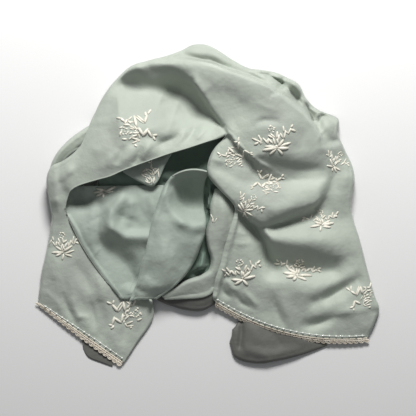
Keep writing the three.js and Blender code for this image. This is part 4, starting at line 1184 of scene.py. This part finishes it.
def faces_up(grid):
    """The same grid, with its columns turned round where its faces would point down."""
    middle_row = grid.shape[0] // 2
    middle_column = grid.shape[1] // 2
    over = grid[middle_row, middle_column + 1] - grid[middle_row, middle_column - 1]
    along = grid[middle_row + 1, middle_column] - grid[middle_row - 1, middle_column]
    return grid if np.cross(over, along)[2] > 0 else grid[:, ::-1]


def arc_lengths(grid, axis):
    steps = np.linalg.norm(np.diff(grid, axis=axis), axis=2)
    start = np.zeros_like(np.take(steps, [0], axis=axis))
    return np.concatenate([start, np.cumsum(steps, axis=axis)], axis=axis)


def cloth_piece(name, grid, nodes, material):
    grid = faces_up(grid)
    uv = np.stack([arc_lengths(grid, 1), arc_lengths(grid, 0)], axis=-1) * MM
    points = in_frame(grid).reshape(-1, 3)
    piece = mesh_object(name, points, grid_faces(*grid.shape[:2]), uv.reshape(-1, 2))
    piece.data.materials.append(material)
    thickness = piece.modifiers.new("cloth", "SOLIDIFY")
    thickness.thickness = CLOTH * MM
    thickness.offset = 0
    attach(piece, "root")
    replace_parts(piece, *nodes)
    return piece


# ---------- The hidden layers ----------
def core_radii(under):
    """How far out from the middle there is still room under the cloth, on each ray."""
    angles = np.arange(CORE_RAYS) * 2 * math.pi / CORE_RAYS
    radii = np.empty(CORE_RAYS)
    for k, angle in enumerate(angles):
        far = np.arange(CORE_MIDDLE, HALF_MAP, CELL)
        room = under[cells_at(far * math.cos(angle), far * math.sin(angle))]
        blocked = np.nonzero(room <= CORE_LEAST)[0]
        radii[k] = far[blocked[0]] if len(blocked) else HALF_MAP
    radii -= CORE_INSIDE
    for step in range(1, CORE_NEAR + 1):
        around = np.minimum(np.roll(radii, step), np.roll(radii, -step)) + step * CORE_STEP
        radii = np.minimum(radii, around)
    return angles, evened(radii, CORE_RIM_ROUNDS)


def hidden_layers(under):
    """One rounded form for the layers that nobody sees, with grooves round its rim."""
    angles, radii = core_radii(widened(under, CORE_BESIDE, NO_CLOTH, np.minimum))
    shares = np.linspace(0, 1, CORE_RINGS + 1)[1:]
    x = shares[:, None] * (radii * np.cos(angles))[None, :]
    y = shares[:, None] * (radii * np.sin(angles))[None, :]
    away = np.hypot(x - PIT["x"], y - PIT["y"]) / PIT["width"]
    free = widened(under, CORE_BELOW, NO_CLOTH, np.minimum)[cells_at(x, y)] - CORE_GAP
    z = np.minimum(CORE_TOP - PIT["depth"] * np.exp(-(away**2)), free)
    for _ in range(CORE_ROUNDS):
        z = np.minimum(z, blurred(z))
    z = np.maximum(CORE_THIN, z)
    rows = [np.stack([x, y, z], axis=-1)]
    rim = rows[0][-1]
    side_rows = 4 * CORE_LAYERS
    for row in range(1, side_rows + 1):
        notch = LAYER_NOTCH * (1 - math.cos(2 * math.pi * row * CORE_LAYERS / side_rows)) / 2
        inward = 1 - notch / np.linalg.norm(rim[:, :2], axis=1)
        down = rim[:, 2] * (1 - row / side_rows)
        rows.append(np.column_stack([rim[:, :2] * inward[:, None], down])[None])
    rings = np.concatenate(rows)
    count = len(rings)
    top = np.array([[0, 0, rings[0, :, 2].mean()], [0, 0, 0]])
    points = np.concatenate([rings.reshape(-1, 3), top])
    faces = []
    for ring in range(count - 1):
        for k in range(CORE_RAYS):
            a = ring * CORE_RAYS + k
            turn = (k + 1) % CORE_RAYS - k
            faces.append((a, a + CORE_RAYS, a + CORE_RAYS + turn, a + turn))
    caps = []
    for k in range(CORE_RAYS):
        after = (k + 1) % CORE_RAYS
        caps.append((k, after, len(points) - 2))
        caps.append(((count - 1) * CORE_RAYS + after, (count - 1) * CORE_RAYS + k, len(points) - 1))
    return points, faces + caps


# ---------- Materials ----------
# Sizes of a noise are in waves for each metre, a bump's distance is in metres.
SILK_PATCHES = dict(scale=14, detail=4)  # where the dye took more and less
SILK_SLUBS = dict(scale=240, detail=2, stretch=(1, 0.05, 1))  # thicker lengths of thread
SILK_CRUMPLE = dict(scale=75, detail=5)  # wrinkles too fine for the sheets
WEFT = 0.55  # millimetres for each band of threads across the sheet
WARP = 0.7  # and along it
WEAVE_BUMP = dict(strength=0.25, distance=0.0001)
SLUB_BUMP = dict(strength=0.3, distance=0.0004)
CRUMPLE_BUMP = dict(strength=0.35, distance=0.004)
SILK_ROUGH = (0.5, 0.66)  # roughness where the patches are deep and where they are light
SILK_SHEEN = {
    "Specular IOR Level": 0.22,
    "Sheen Weight": 0.25,
    "Sheen Roughness": 0.4,
    "Sheen Tint": (0.86, 0.95, 0.88, 1),
}
THREAD_TONES = dict(scale=160, detail=3)
THREAD_STRANDS = dict(scale=1500, detail=2, stretch=(1, 0.3, 1))
STRAND_BUMP = dict(strength=0.4, distance=0.0003)
PEARL_TONES = dict(scale=300, detail=2)
PEARL_STOPS = [(0.35, (0.66, 0.70, 0.66)), (0.65, (0.86, 0.86, 0.80))]


class Look:
    """One procedural material: its shader, and what is linked to it."""

    def __init__(self, name):
        self.material = bpy.data.materials.new(name)
        self.material.use_nodes = True
        self.nodes = self.material.node_tree.nodes
        self.shader = self.nodes["Principled BSDF"]
        coordinates = self.nodes.new("ShaderNodeTexCoord")
        self.places = coordinates.outputs["Object"]
        self.cloth = coordinates.outputs["UV"]

    def join(self, source, socket):
        self.material.node_tree.links.new(source, socket)

    def set(self, node, values):
        """Gives inputs of a node their values, each by its name."""
        for name, value in values.items():
            node.inputs[name].default_value = value

    def node(self, kind, values, links):
        """A new node with its values and its links, each by the name of an input."""
        node = self.nodes.new(kind)
        self.set(node, values)
        for name, source in links.items():
            self.join(source, node.inputs[name])
        return node

    def noise(self, places, scale, detail, stretch=(1, 1, 1)):
        mapping = self.node("ShaderNodeMapping", {"Scale": stretch}, {"Vector": places})
        values = {"Scale": scale, "Detail": detail}
        noise = self.node("ShaderNodeTexNoise", values, {"Vector": mapping.outputs["Vector"]})
        return noise.outputs["Fac"]

    def threads(self, direction, period):
        """Fine bands, one for each thread of the weave."""
        values = {"Scale": math.pi / 10 / (period * MM), "Distortion": 0.6, "Detail": 1.0}
        wave = self.node("ShaderNodeTexWave", values, {"Vector": self.cloth})
        wave.bands_direction = direction
        return wave.outputs["Fac"]

    def tones(self, value, stops):
        """A colour between two, by a value: each stop is a place from 0 to 1 and its colour."""
        ramp = self.node("ShaderNodeValToRGB", {}, {"Fac": value})
        for element, (place, colour) in zip(ramp.color_ramp.elements, stops):
            element.position = place
            element.color = (*colour, 1)
        return ramp.outputs["Color"]

    def bump(self, height, strength, distance, under=None):
        links = {"Height": height} if under is None else {"Height": height, "Normal": under}
        bump = self.node("ShaderNodeBump", {"Strength": strength, "Distance": distance}, links)
        return bump.outputs["Normal"]

    def give(self, name, source):
        """Links one input of the shader."""
        self.join(source, self.shader.inputs[name])


def silk(name, light, deep):
    """Soft silk: close threads both ways, a slub here and there, and a low sheen."""
    look = Look(name)
    patches = look.noise(look.places, **SILK_PATCHES)
    look.give("Base Color", look.tones(patches, [(0.3, deep), (0.7, light)]))
    both = look.nodes.new("ShaderNodeMath")
    both.operation = "ADD"
    look.join(look.threads("X", WEFT), both.inputs[0])
    look.join(look.threads("Y", WARP), both.inputs[1])
    weave = look.bump(both.outputs["Value"], **WEAVE_BUMP)
    slubs = look.bump(look.noise(look.cloth, **SILK_SLUBS), **SLUB_BUMP, under=weave)
    crumple = look.noise(look.places, **SILK_CRUMPLE)
    look.give("Normal", look.bump(crumple, **CRUMPLE_BUMP, under=slubs))
    rough = {"To Min": SILK_ROUGH[0], "To Max": SILK_ROUGH[1]}
    gloss = look.node("ShaderNodeMapRange", rough, {"Value": patches})
    look.give("Roughness", gloss.outputs["Result"])
    look.set(look.shader, SILK_SHEEN)
    return look.material


def thread(name, light, deep, roughness):
    """Soft twisted thread, a little glossy along its length."""
    look = Look(name)
    tones = look.noise(look.places, **THREAD_TONES)
    look.give("Base Color", look.tones(tones, [(0.3, deep), (0.62, light)]))
    strands = look.noise(look.places, **THREAD_STRANDS)
    look.give("Normal", look.bump(strands, **STRAND_BUMP))
    look.set(look.shader, {"Roughness": roughness, "Specular IOR Level": 0.4})
    return look.material


def pearl():
    look = Look("pearly glass")
    look.give("Base Color", look.tones(look.noise(look.places, **PEARL_TONES), PEARL_STOPS))
    look.set(look.shader, {"Roughness": 0.18, "Coat Weight": 0.6})
    return look.material


# ---------- Embroidery, on the surface of a sheet ----------
class Surface:
    """Finds the top of a sheet below a place."""

    def __init__(self, piece):
        mesh = piece.data
        points = [vertex.co.copy() for vertex in mesh.vertices]
        self.tree = BVHTree.FromPolygons(points, [tuple(face.vertices) for face in mesh.polygons])

    def at(self, x, y):
        """The point and the upward normal below a place of the tables, or nothing."""
        start = Vector(((x + HEAP_SHIFT[0]) * MM, (y + HEAP_SHIFT[1]) * MM, 1))
        spot, normal, _, _ = self.tree.ray_cast(start, Vector((0, 0, -1)))
        if spot is None:
            return None
        return np.array(spot), np.array(normal if normal.z > 0 else -normal)


STITCH_SIDES = 6
STITCH_STATIONS = 5
SHORTEST_STITCH = 1e-5  # in metres
STITCH_LOFT = 0.38  # how high a stitch stands, as a share of its width
STITCH_TIP = 0.13  # how blunt its ends are
STITCH_FULL = 0.7  # how soon it is full
STITCH_LIFT = 0.55  # how far its middle stands off the cloth, as a share of its height

# A spray is 60 mm wide. A stitch runs from x0, y0 to x1, y1 and has its own width.
STITCH = ["x0", "y0", "x1", "y1", "width"]
BROAD_SPRAY = table(STITCH, [
    # a fan of long petals
    [0, -9, -15, -3, 4.6],
    [-2, -11, -19, -9, 4.6],
    [-1, -12, -13, -17, 4.3],
    [1, -12, 5, -21, 4.3],
    [2, -11, 15, -15, 4.6],
    [2, -10, 19, -7, 4.6],
    [1, -8, 12, 0, 4.3],
    [0, -8, 1, 4, 4.9],
    # a zig-zag sprig to the left
    [-4, -3, -9, 5, 3.4],
    [-9, 5, -11, -2, 3.2],
    [-11, -2, -17, 7, 3.4],
    [-17, 7, -20, 0, 2.9],
    [-20, 0, -25, 7, 3.1],
    [-24, 5, -30, 11, 3.5],
    [-24, 3, -29, 1, 3.5],
    [-19, 3, -22, 13, 3.2],
    # a zig-zag sprig to the right
    [4, -1, 8, 8, 3.4],
    [8, 8, 12, 1, 3.2],
    [12, 1, 16, 11, 3.4],
    [16, 11, 21, 5, 2.9],
    [20, 6, 24, 14, 3.1],
    [24, 12, 29, 17, 3.5],
    [25, 10, 30, 7, 3.5],
    [15, 9, 14, 18, 3.2],
    # knots at the heart
    [-2, -8, 2, -9, 2.6],
    [-1, -11, 1, -7, 2.4],
    # leaves under the flower head
    [-2, 4, -8, 10, 3.8],
    [2, 4, 7, 12, 3.8],
    [-1, 5, -3, 12, 3.2],
])
TALL_SPRAY = table(STITCH, [
    # short leaves round the flower head at the lower left
    [-2, -2, -9, 2, 3.0],
    [-9, 3, -18, 0, 3.2],
    [-18, -1, -22, -5, 3.0],
    [-22, -8, -21, -14, 3.0],
    [-19, -17, -11, -18, 3.2],
    [-3, -4, -9, -3, 2.8],
    [-4, -7, -8, -10, 2.8],
    [-9, -18, -5, -14, 2.8],
    [-3, 5, -11, 7, 2.8],
    # a leaf sewn to and fro
    [-3, -8, 5, -9, 3.5],
    [5, -11, -5, -14, 3.4],
    [-5, -16, 6, -17, 3.5],
    [6, -19, -3, -22, 3.2],
    [-1, -24, 4, -25, 3.0],
    [5, -9, 8, -14, 2.6],
    [7, -16, 5, -20, 2.6],
    [2, -2, 9, -5, 2.8],
    # a bold zig-zag to the upper right
    [0, 1, -5, 16, 4.6],
    [-4, 16, 11, 6, 4.8],
    [11, 6, 14, 19, 4.5],
    [13, 18, 9, 23, 3.6],
    [15, 19, 18, 25, 3.6],
    # a bold zig-zag to the right
    [3, 0, 11, -11, 4.6],
    [11, -11, 18, -1, 4.7],
    [18, -1, 25, -10, 4.4],
    [25, -10, 31, -8, 3.6],
    [25, -11, 29, -15, 3.4],
    # a sprig to the left
    [-6, 4, -13, 9, 3.6],
    [-13, 9, -16, 3, 3.4],
    [-16, 4, -24, 11, 3.6],
    [-24, 11, -27, 17, 3.6],
    [-24, 10, -30, 9, 3.4],
    [-8, 13, -12, 7, 3.2],
    # knots at the heart
    [-6, 0, 0, -1, 3.2],
    [-1, 0, 3, -3, 3.0],
    [-2, -3, 2, -5, 2.6],
])
HEM_BITS = table(STITCH, [
    [-4, 5, -1, -1, 2.2],
    [-1, 0, 1, -8, 2.4],
    [2, -8, 6, -1, 2.2],
    [-6, 7, -8, 3, 1.8],
])
SPRAYS = [BROAD_SPRAY, TALL_SPRAY, HEM_BITS]
HEART_ROOM = 0.1  # how much of a broad stitch stays free at the heart of a spray
BROAD_STITCH = 4.8  # a stitch from this width on is sewn as two, side by side
# The flower head of a broad and of a tall spray is a ring of short stitches round a knot.
ROSETTE = dict(x=[-1.5, -14.5], y=[17.5, -8.0], radius=4.6, stitches=8, width=2.7, share=0.8)
ROSETTE_KNOT = dict(half=1.0, width=2.4)
HALF_STITCH = dict(aside=0.3, width=0.66)  # each of the two stitches in a broad one's place
UNEVEN = 1.5  # how far a stitch's ends stray
UNEVEN_WIDTH = 0.15  # how much thicker or thinner than another a stitch is
LEFT_OUT = 0.03  # share of the stitches that a spray lacks

# Where the sprays lie on each sheet. Turn is in degrees, wide and high are shares of a spray's own
# size, mirror is -1 where it is flipped, and kind is its place in SPRAYS.
MOTIF = ["x", "y", "turn", "wide", "high", "mirror", "kind"]
MOTIFS = dict(
    shawl=[
        [-106, 119, -6, 1.05, 1.08, 1, 1],
        [-217, -57, 8, 0.85, 0.95, -1, 0],
        [-124, -156, 24, 0.98, 1.02, -1, 1],
        [99, 99, 14, 1.05, 1.0, 1, 0],
        [88, 38, -2, 0.85, 0.75, -1, 1],
        [59, 3, -38, 0.72, 0.85, 1, 0],
        [40, 79, 24, 0.8, 0.8, 1, 1],
        [168, -19, 12, 0.9, 0.72, -1, 0],
        [51, -97, 8, 0.98, 0.9, 1, 0],
        [134, -93, -6, 1.15, 0.75, -1, 0],
        [231, -130, 32, 0.85, 0.85, -1, 1],
        [190, 68, -34, 0.66, 0.75, 1, 0],
    ],
    pouch=[[-156, 33, 16, 0.9, 0.8, -1, 0]],
    small_band=[[-80, 48, -52, 0.72, 0.72, 1, 1]],
    side_roll=[[7, -14, 0, 0.9, 1, 1, 2]],
)


def spray_stitches(kind):
    """Every stitch of a spray, with the ring of its flower head."""
    stitches = []
    for s in rows_of(SPRAYS[kind]):
        x0, y0, x1, y1, width = (s[name] for name in STITCH)
        if width < BROAD_STITCH:
            stitches.append([x0, y0, x1, y1, width])
            continue
        x0 += (x1 - x0) * HEART_ROOM
        y0 += (y1 - y0) * HEART_ROOM
        length = math.hypot(x1 - x0, y1 - y0)
        for aside in (HALF_STITCH["aside"], -HALF_STITCH["aside"]):
            dx = (y1 - y0) / length * width * aside
            dy = (x0 - x1) / length * width * aside
            stitches.append([x0 + dx, y0 + dy, x1 + dx, y1 + dy, width * HALF_STITCH["width"]])
    if SPRAYS[kind] is HEM_BITS:
        return stitches
    head_x = ROSETTE["x"][kind]
    head_y = ROSETTE["y"][kind]
    radius = ROSETTE["radius"]
    for k in range(ROSETTE["stitches"]):
        turn = 2 * math.pi * k / ROSETTE["stitches"]
        after = turn + 2 * math.pi / ROSETTE["stitches"] * ROSETTE["share"]
        stitch = []
        for angle in (turn, after):
            stitch += [head_x + radius * math.cos(angle), head_y + radius * math.sin(angle)]
        stitches.append([*stitch, ROSETTE["width"]])
    half = ROSETTE_KNOT["half"]
    stitches.append([head_x - half, head_y, head_x + half, head_y, ROSETTE_KNOT["width"]])
    return stitches


class Joined:
    """Collects many small forms for one mesh."""

    def __init__(self):
        self.points = []
        self.faces = []

    def tube(self, rings):
        """A closed form through rings of points."""
        sides = len(rings[0])
        faces = []
        for i in range(len(rings) - 1):
            ring = i * sides
            beyond = ring + sides
            for k in range(sides):
                after = (k + 1) % sides
                faces.append((ring + k, ring + after, beyond + after, beyond + k))
        faces.append(tuple(range(sides))[::-1])
        faces.append(tuple((len(rings) - 1) * sides + k for k in range(sides)))
        start = len(self.points)
        self.points.extend(point for ring in rings for point in ring)
        self.faces.extend(tuple(start + k for k in face) for face in faces)

    def piece(self, name, material, slot):
        piece = mesh_object(name, self.points, self.faces)
        piece.data.materials.append(material)
        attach(piece, "root")
        return piece


def add_stitch(joined, surface, start, end, width):
    """A satin stitch: a low rounded ridge that narrows to both ends and follows the cloth."""
    spots = []
    for t in np.linspace(0, 1, STITCH_STATIONS):
        spot = surface.at(start[0] + (end[0] - start[0]) * t, start[1] + (end[1] - start[1]) * t)
        if spot is None:
            return
        spots.append(spot)
    way = spots[-1][0] - spots[0][0]
    length = np.linalg.norm(way)
    if length < SHORTEST_STITCH:
        return
    rings = []
    for t, (place, normal) in zip(np.linspace(0, 1, STITCH_STATIONS), spots):
        side = np.cross(normal, way / length)
        side = side / max(TINY, np.linalg.norm(side))
        swell = math.sin(math.pi * (STITCH_TIP + (1 - 2 * STITCH_TIP) * t)) ** STITCH_FULL
        half = width * MM / 2 * swell
        loft = width * MM * STITCH_LOFT * swell
        ring = []
        for k in range(STITCH_SIDES):
            turn = 2 * math.pi * (k + 0.5) / STITCH_SIDES
            high = loft * math.sin(turn) + loft * STITCH_LIFT
            ring.append(place + side * half * math.cos(turn) + normal * high)
        rings.append(ring)
    joined.tube(rings)


def embroider(name, piece, motifs, material):
    """The sprays on one sheet, as one mesh."""
    surface = Surface(piece)
    joined = Joined()
    uneven = np.random.RandomState(sum(map(ord, name)))
    for motif in rows_of(motifs):
        turn = math.radians(motif["turn"])
        cos, sin = math.cos(turn), math.sin(turn)

        def placed(x, y):
            x = x * motif["wide"] * motif["mirror"]
            y = y * motif["high"]
            return motif["x"] + x * cos - y * sin, motif["y"] + x * sin + y * cos

        for x0, y0, x1, y1, width in spray_stitches(int(motif["kind"])):
            shift = uneven.uniform(-UNEVEN, UNEVEN, 4)
            if uneven.uniform() < LEFT_OUT:
                continue
            start = placed(x0 + shift[0], y0 + shift[1])
            end = placed(x1 + shift[2], y1 + shift[3])
            width *= motif["wide"] * uneven.uniform(1 - UNEVEN_WIDTH, 1 + UNEVEN_WIDTH)
            add_stitch(joined, surface, start, end, width)
    joined.piece(f"embroidery_{name}", material, "thread")


# ---------- Beads and lace on the short ends ----------
BEAD = dict(radius=1.55, pitch=9.9, inside=4.6, stray=0.8, lift=0.8, rings=5, sides=10)
BEAD_CORD = dict(radius=0.5, spacing=2.4, ends=1.0)
HEM = dict(radius=0.85, lift=0.15, sides=6)
THREAD_SIDES = 5
TWIST_SIDES = 4
LACE_WIDTH = 9.0
SCALLOP = 8.0  # width of a scallop of its outer edge
LACE_CORDS = (0.4, 3.4)  # how far out the two straight cords lie
CORD_POINTS = 4  # points of a straight cord for each scallop
LACE_THREAD = 0.78  # radius of a lace thread
CORD_SHARE = 1.1  # radius of a cord, as a share of that
TWIST_SHARE = 0.8  # and of the twist between the cords
TWIST_STEPS = [(0, 0.5), (0.25, 1.9), (0.5, 3.3), (0.75, 1.9), (1, 0.5)]  # along a loop, and out
TWIST_MIDDLE = 3.8  # twice how far out the middle of the twist lies
LOOPS = ((0.5, 1.0), (0.28, 0.6))  # half the width and the height of a loop, as shares
LOOP_POINTS = 9
LACE_FALL = 0.5  # how far the outer edge falls towards the floor
LACE_REST = 0.9  # how high it lies there


class Edge:
    """The last row of a sheet, as a line with a length."""

    def __init__(self, grid, columns):
        self.edge = grid[-1, columns]
        self.inner = grid[-3, columns]
        steps = np.linalg.norm(np.diff(self.edge, axis=0), axis=1)
        self.far = np.concatenate([[0], np.cumsum(steps)])
        self.length = self.far[-1]

    def at(self, along, out):
        """The point a distance along the edge, and a distance out from it or, below 0, inside."""
        edge = np.array([np.interp(along, self.far, self.edge[:, k]) for k in range(3)])
        inner = np.array([np.interp(along, self.far, self.inner[:, k]) for k in range(3)])
        way = edge - inner
        way = way / np.linalg.norm(way)
        if out <= 0:
            return edge + way * out
        flat = way * [1, 1, 0]
        spot = edge + flat / np.linalg.norm(flat) * out
        fall = min(1, out / LACE_WIDTH)
        rest = LACE_REST + (edge[2] - LACE_REST) * (1 - LACE_FALL)
        spot[2] = max(LACE_REST, edge[2] + (rest - edge[2]) * fall)
        return spot


def add_thread(joined, spots, radius, sides=THREAD_SIDES):
    """A round thread through points in millimetres."""
    spots = np.array(spots)
    ways = np.gradient(spots, axis=0)
    rings = []
    for spot, way in zip(in_frame(spots), ways):
        way = way / max(TINY, np.linalg.norm(way))
        side = np.cross(way, [0, 0, 1.0])
        side = side / max(TINY, np.linalg.norm(side))
        up = np.cross(side, way)
        turns = 2 * math.pi * np.arange(sides) / sides
        rings.append([spot + (side * math.cos(a) + up * math.sin(a)) * radius * MM for a in turns])
    joined.tube(rings)


def lace(name, edge, node, material):
    """A narrow edging: two cords with a twist between them, and a looped scallop outside."""
    joined = Joined()
    scallops = int(round(edge.length / SCALLOP))
    pitch = edge.length / scallops
    places = np.linspace(0, edge.length, scallops * CORD_POINTS)
    for out in LACE_CORDS:
        line = [edge.at(along, out) for along in places]
        add_thread(joined, line, LACE_THREAD * CORD_SHARE)
    room = LACE_WIDTH - LACE_CORDS[1] - LACE_THREAD
    for k in range(scallops):
        start = k * pitch
        for flip in (False, True):
            line = [
                edge.at(start + share * pitch, TWIST_MIDDLE - out if flip else out)
                for share, out in TWIST_STEPS
            ]
            add_thread(joined, line, LACE_THREAD * TWIST_SHARE, TWIST_SIDES)
        for width, high in LOOPS:
            line = []
            for turn in np.linspace(0, math.pi, LOOP_POINTS):
                along = np.clip(start + pitch * (0.5 - width * math.cos(turn)), 0, edge.length)
                line.append(edge.at(along, LACE_CORDS[1] + room * high * math.sin(turn)))
            add_thread(joined, line, LACE_THREAD)
    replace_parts(joined.piece(name, material, "lace"), node)


def rolled_hem(name, spots, material):
    """The narrow rolled hem along a cut edge."""
    joined = Joined()
    add_thread(joined, spots + [0, 0, HEM["lift"]], HEM["radius"], HEM["sides"])
    joined.piece(name, material, "silk")


def beads(name, edge, material):
    """A row of round beads on a thin cord, inside the hem."""
    joined = Joined()
    places = np.arange(BEAD_CORD["ends"], edge.length - BEAD_CORD["ends"], BEAD_CORD["spacing"])
    line = [edge.at(along, -BEAD["inside"]) for along in places]
    add_thread(joined, np.array(line) + [0, 0, BEAD_CORD["radius"]], BEAD_CORD["radius"])
    count = int(edge.length / BEAD["pitch"])
    uneven = np.random.RandomState(len(name))
    for k in range(count):
        along = (k + 0.5) * edge.length / count + uneven.uniform(-BEAD["stray"], BEAD["stray"])
        centre = edge.at(along, -BEAD["inside"])
        centre = in_frame(centre + [0, 0, BEAD["radius"] * BEAD["lift"]])
        rings = []
        for row in range(BEAD["rings"]):
            lift = math.pi * (row + 0.5) / BEAD["rings"] - math.pi / 2
            flat = BEAD["radius"] * MM * math.cos(lift)
            turns = 2 * math.pi * np.arange(BEAD["sides"]) / BEAD["sides"]
            high = BEAD["radius"] * MM * math.sin(lift)
            ring = [(flat * math.cos(a), flat * math.sin(a), high) for a in turns]
            rings.append([centre + np.array(point) for point in ring])
        joined.tube(rings)
    joined.piece(name, material, "bead")


# ---------- The camera, light and floor, in metres ----------
CAMERA_HEIGHT = 4.0
PICTURE = 416  # points along each side of the picture
POINT = 1.5  # millimetres of the floor in each
SENSOR = 36.0
SOFTBOX = dict(place=(0.14, 1.7, 1.6), size=0.8, power=73, colour=(1.0, 0.99, 0.98))
SKY = (0.96, 0.98, 1.0, 1)
SKY_STRENGTH = 0.23
FLOOR_HALF = 3.0
FLOOR_FADE = 0.32  # how far before and behind the middle its tone changes
FLOOR_TONES = [(0.0, (0.62,) * 3), (1.0, (0.8,) * 3)]


def add_camera():
    data = bpy.data.cameras.new("camera")
    data.sensor_width = SENSOR
    data.lens = SENSOR * CAMERA_HEIGHT / (PICTURE * POINT * MM)
    camera = bpy.data.objects.new("camera", data)
    bpy.context.scene.collection.objects.link(camera)
    camera.location = (HEAP_SHIFT[0] * MM, HEAP_SHIFT[1] * MM, CAMERA_HEIGHT)
    bpy.context.scene.camera = camera


def add_light(name, place, size, power, colour):
    """A round soft light that faces the middle of the floor."""
    data = bpy.data.lights.new(name, "AREA")
    data.shape = "DISK"
    data.size = size
    data.energy = power
    data.color = colour
    light = bpy.data.objects.new(name, data)
    bpy.context.scene.collection.objects.link(light)
    light.location = place
    light.rotation_euler = (-Vector(place)).to_track_quat("-Z", "Y").to_euler()


def add_floor():
    """A pale floor that is a little darker towards the front."""
    half = FLOOR_HALF
    corners = [(-half, -half, 0), (half, -half, 0), (half, half, 0), (-half, half, 0)]
    floor = mesh_object("floor", corners, [(0, 1, 2, 3)])
    look = Look("pale floor")
    split = look.node("ShaderNodeSeparateXYZ", {}, {"Vector": look.places})
    fade = {"From Min": -FLOOR_FADE, "From Max": FLOOR_FADE}
    reach = look.node("ShaderNodeMapRange", fade, {"Value": split.outputs["Y"]})
    look.give("Base Color", look.tones(reach.outputs["Result"], FLOOR_TONES))
    look.set(look.shader, {"Roughness": 0.9, "Specular IOR Level": 0.1})
    floor.data.materials.append(look.material)


def add_world():
    world = bpy.data.worlds.new("studio")
    world.use_nodes = True
    background = world.node_tree.nodes["Background"]
    background.inputs["Color"].default_value = SKY
    background.inputs["Strength"].default_value = SKY_STRENGTH
    bpy.context.scene.world = world


# ---------- Everything ----------
add_camera()
add_world()
add_light("softbox", **SOFTBOX)
add_floor()

sage = silk("sage silk", (0.415, 0.46, 0.40), (0.325, 0.352, 0.312))
# A far darker copy of the silk, as painted shade on the low turns at the foot of the heap.
low_turns_painted_shade_sage = silk("sage silk darkened as painted shade, on the low turns", (0.13, 0.133, 0.12), (0.1, 0.102, 0.093))
# A darker, greener copy of the silk, as painted shade on the stretches deep in the heap.
deep_painted_shade_sage = silk("sage silk with painted shade, deep in the heap", (0.365, 0.415, 0.365), (0.30, 0.35, 0.305))
# A dark green copy of the silk for the hidden layers, as painted shade in the deep hollows where
# they show.
inner_painted_shade_sage = silk("inner silk with painted shade", (0.15, 0.205, 0.165), (0.11, 0.155, 0.125))
cream = thread("cream thread", (0.78, 0.76, 0.67), (0.58, 0.56, 0.47), 0.5)
tan = thread("tan lace", (0.88, 0.82, 0.70), (0.68, 0.60, 0.48), 0.7)
glass = pearl()
# Which stretches get a copy of the silk with painted shade; the rest get the plain sage silk.
painted_shade_silk_of = {**dict.fromkeys(LOW_TURNS, low_turns_painted_shade_sage), **dict.fromkeys(DEEP_IN_HEAP, deep_painted_shade_sage)}


def add_sheets(grids):
    """A sheet for each stretch, and one for all that run from hem to hem."""
    sheets = {}
    for name, grid in grids.items():
        if name in SHAWL_NODES:
            continue
        nodes = SHAWL_NODES if name == "shawl" else [name]
        sheet = cloth_piece(f"cloth_{name}", grid, nodes, painted_shade_silk_of.get(name, sage))
        sheets[name] = sheet
    return sheets


def add_hidden_layers(under):
    points, faces = hidden_layers(under)
    core = mesh_object("cloth_hidden_layers", in_frame(points), faces)
    # The hidden layers take the dark green silk with painted shade.
    core.data.materials.append(inner_painted_shade_sage)
    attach(core, "root")
    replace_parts(core, "hidden_layers")


def add_hems(grids):
    """The rolled hems where a cut long edge shows."""
    along = places_along(SHAWL_COURSE, SHAWL_SPACING)
    cut = (along > HEM_START) & (along < HEM_END)
    rolled_hem("hem_flap", grids["shawl"][cut, -LIP_STEPS - 1], sage)
    rolled_hem("hem_pouch", grids["pouch"][LIP_STEPS:-LIP_STEPS * 2, 2], sage)
    rolled_hem("hem_lobe", grids["front_lobe"][LIP_STEPS, LIP_STEPS:-LIP_STEPS], sage)


def add_short_ends(shawl):
    """Lace and beads on both short ends."""
    for side, grid in (("left", shawl[::-1]), ("right", shawl)):
        edge = Edge(grid, slice(LIP_STEPS, -LIP_STEPS))
        lace(f"edging_{side}", edge, f"{side}_lace", tan)
        beads(f"beads_{side}", edge, glass)


grids, heap = lay_all()
grids["shawl"] = lay_shawl(heap)
heap.note("shawl", grids["shawl"])
sheets = add_sheets(grids)
add_hidden_layers(heap.under)
for name, motifs in MOTIFS.items():
    embroider(name, sheets[name], table(MOTIF, motifs), cream)
add_hems(grids)
add_short_ends(grids["shawl"])

bpy.context.scene.view_settings.view_transform = "Standard"
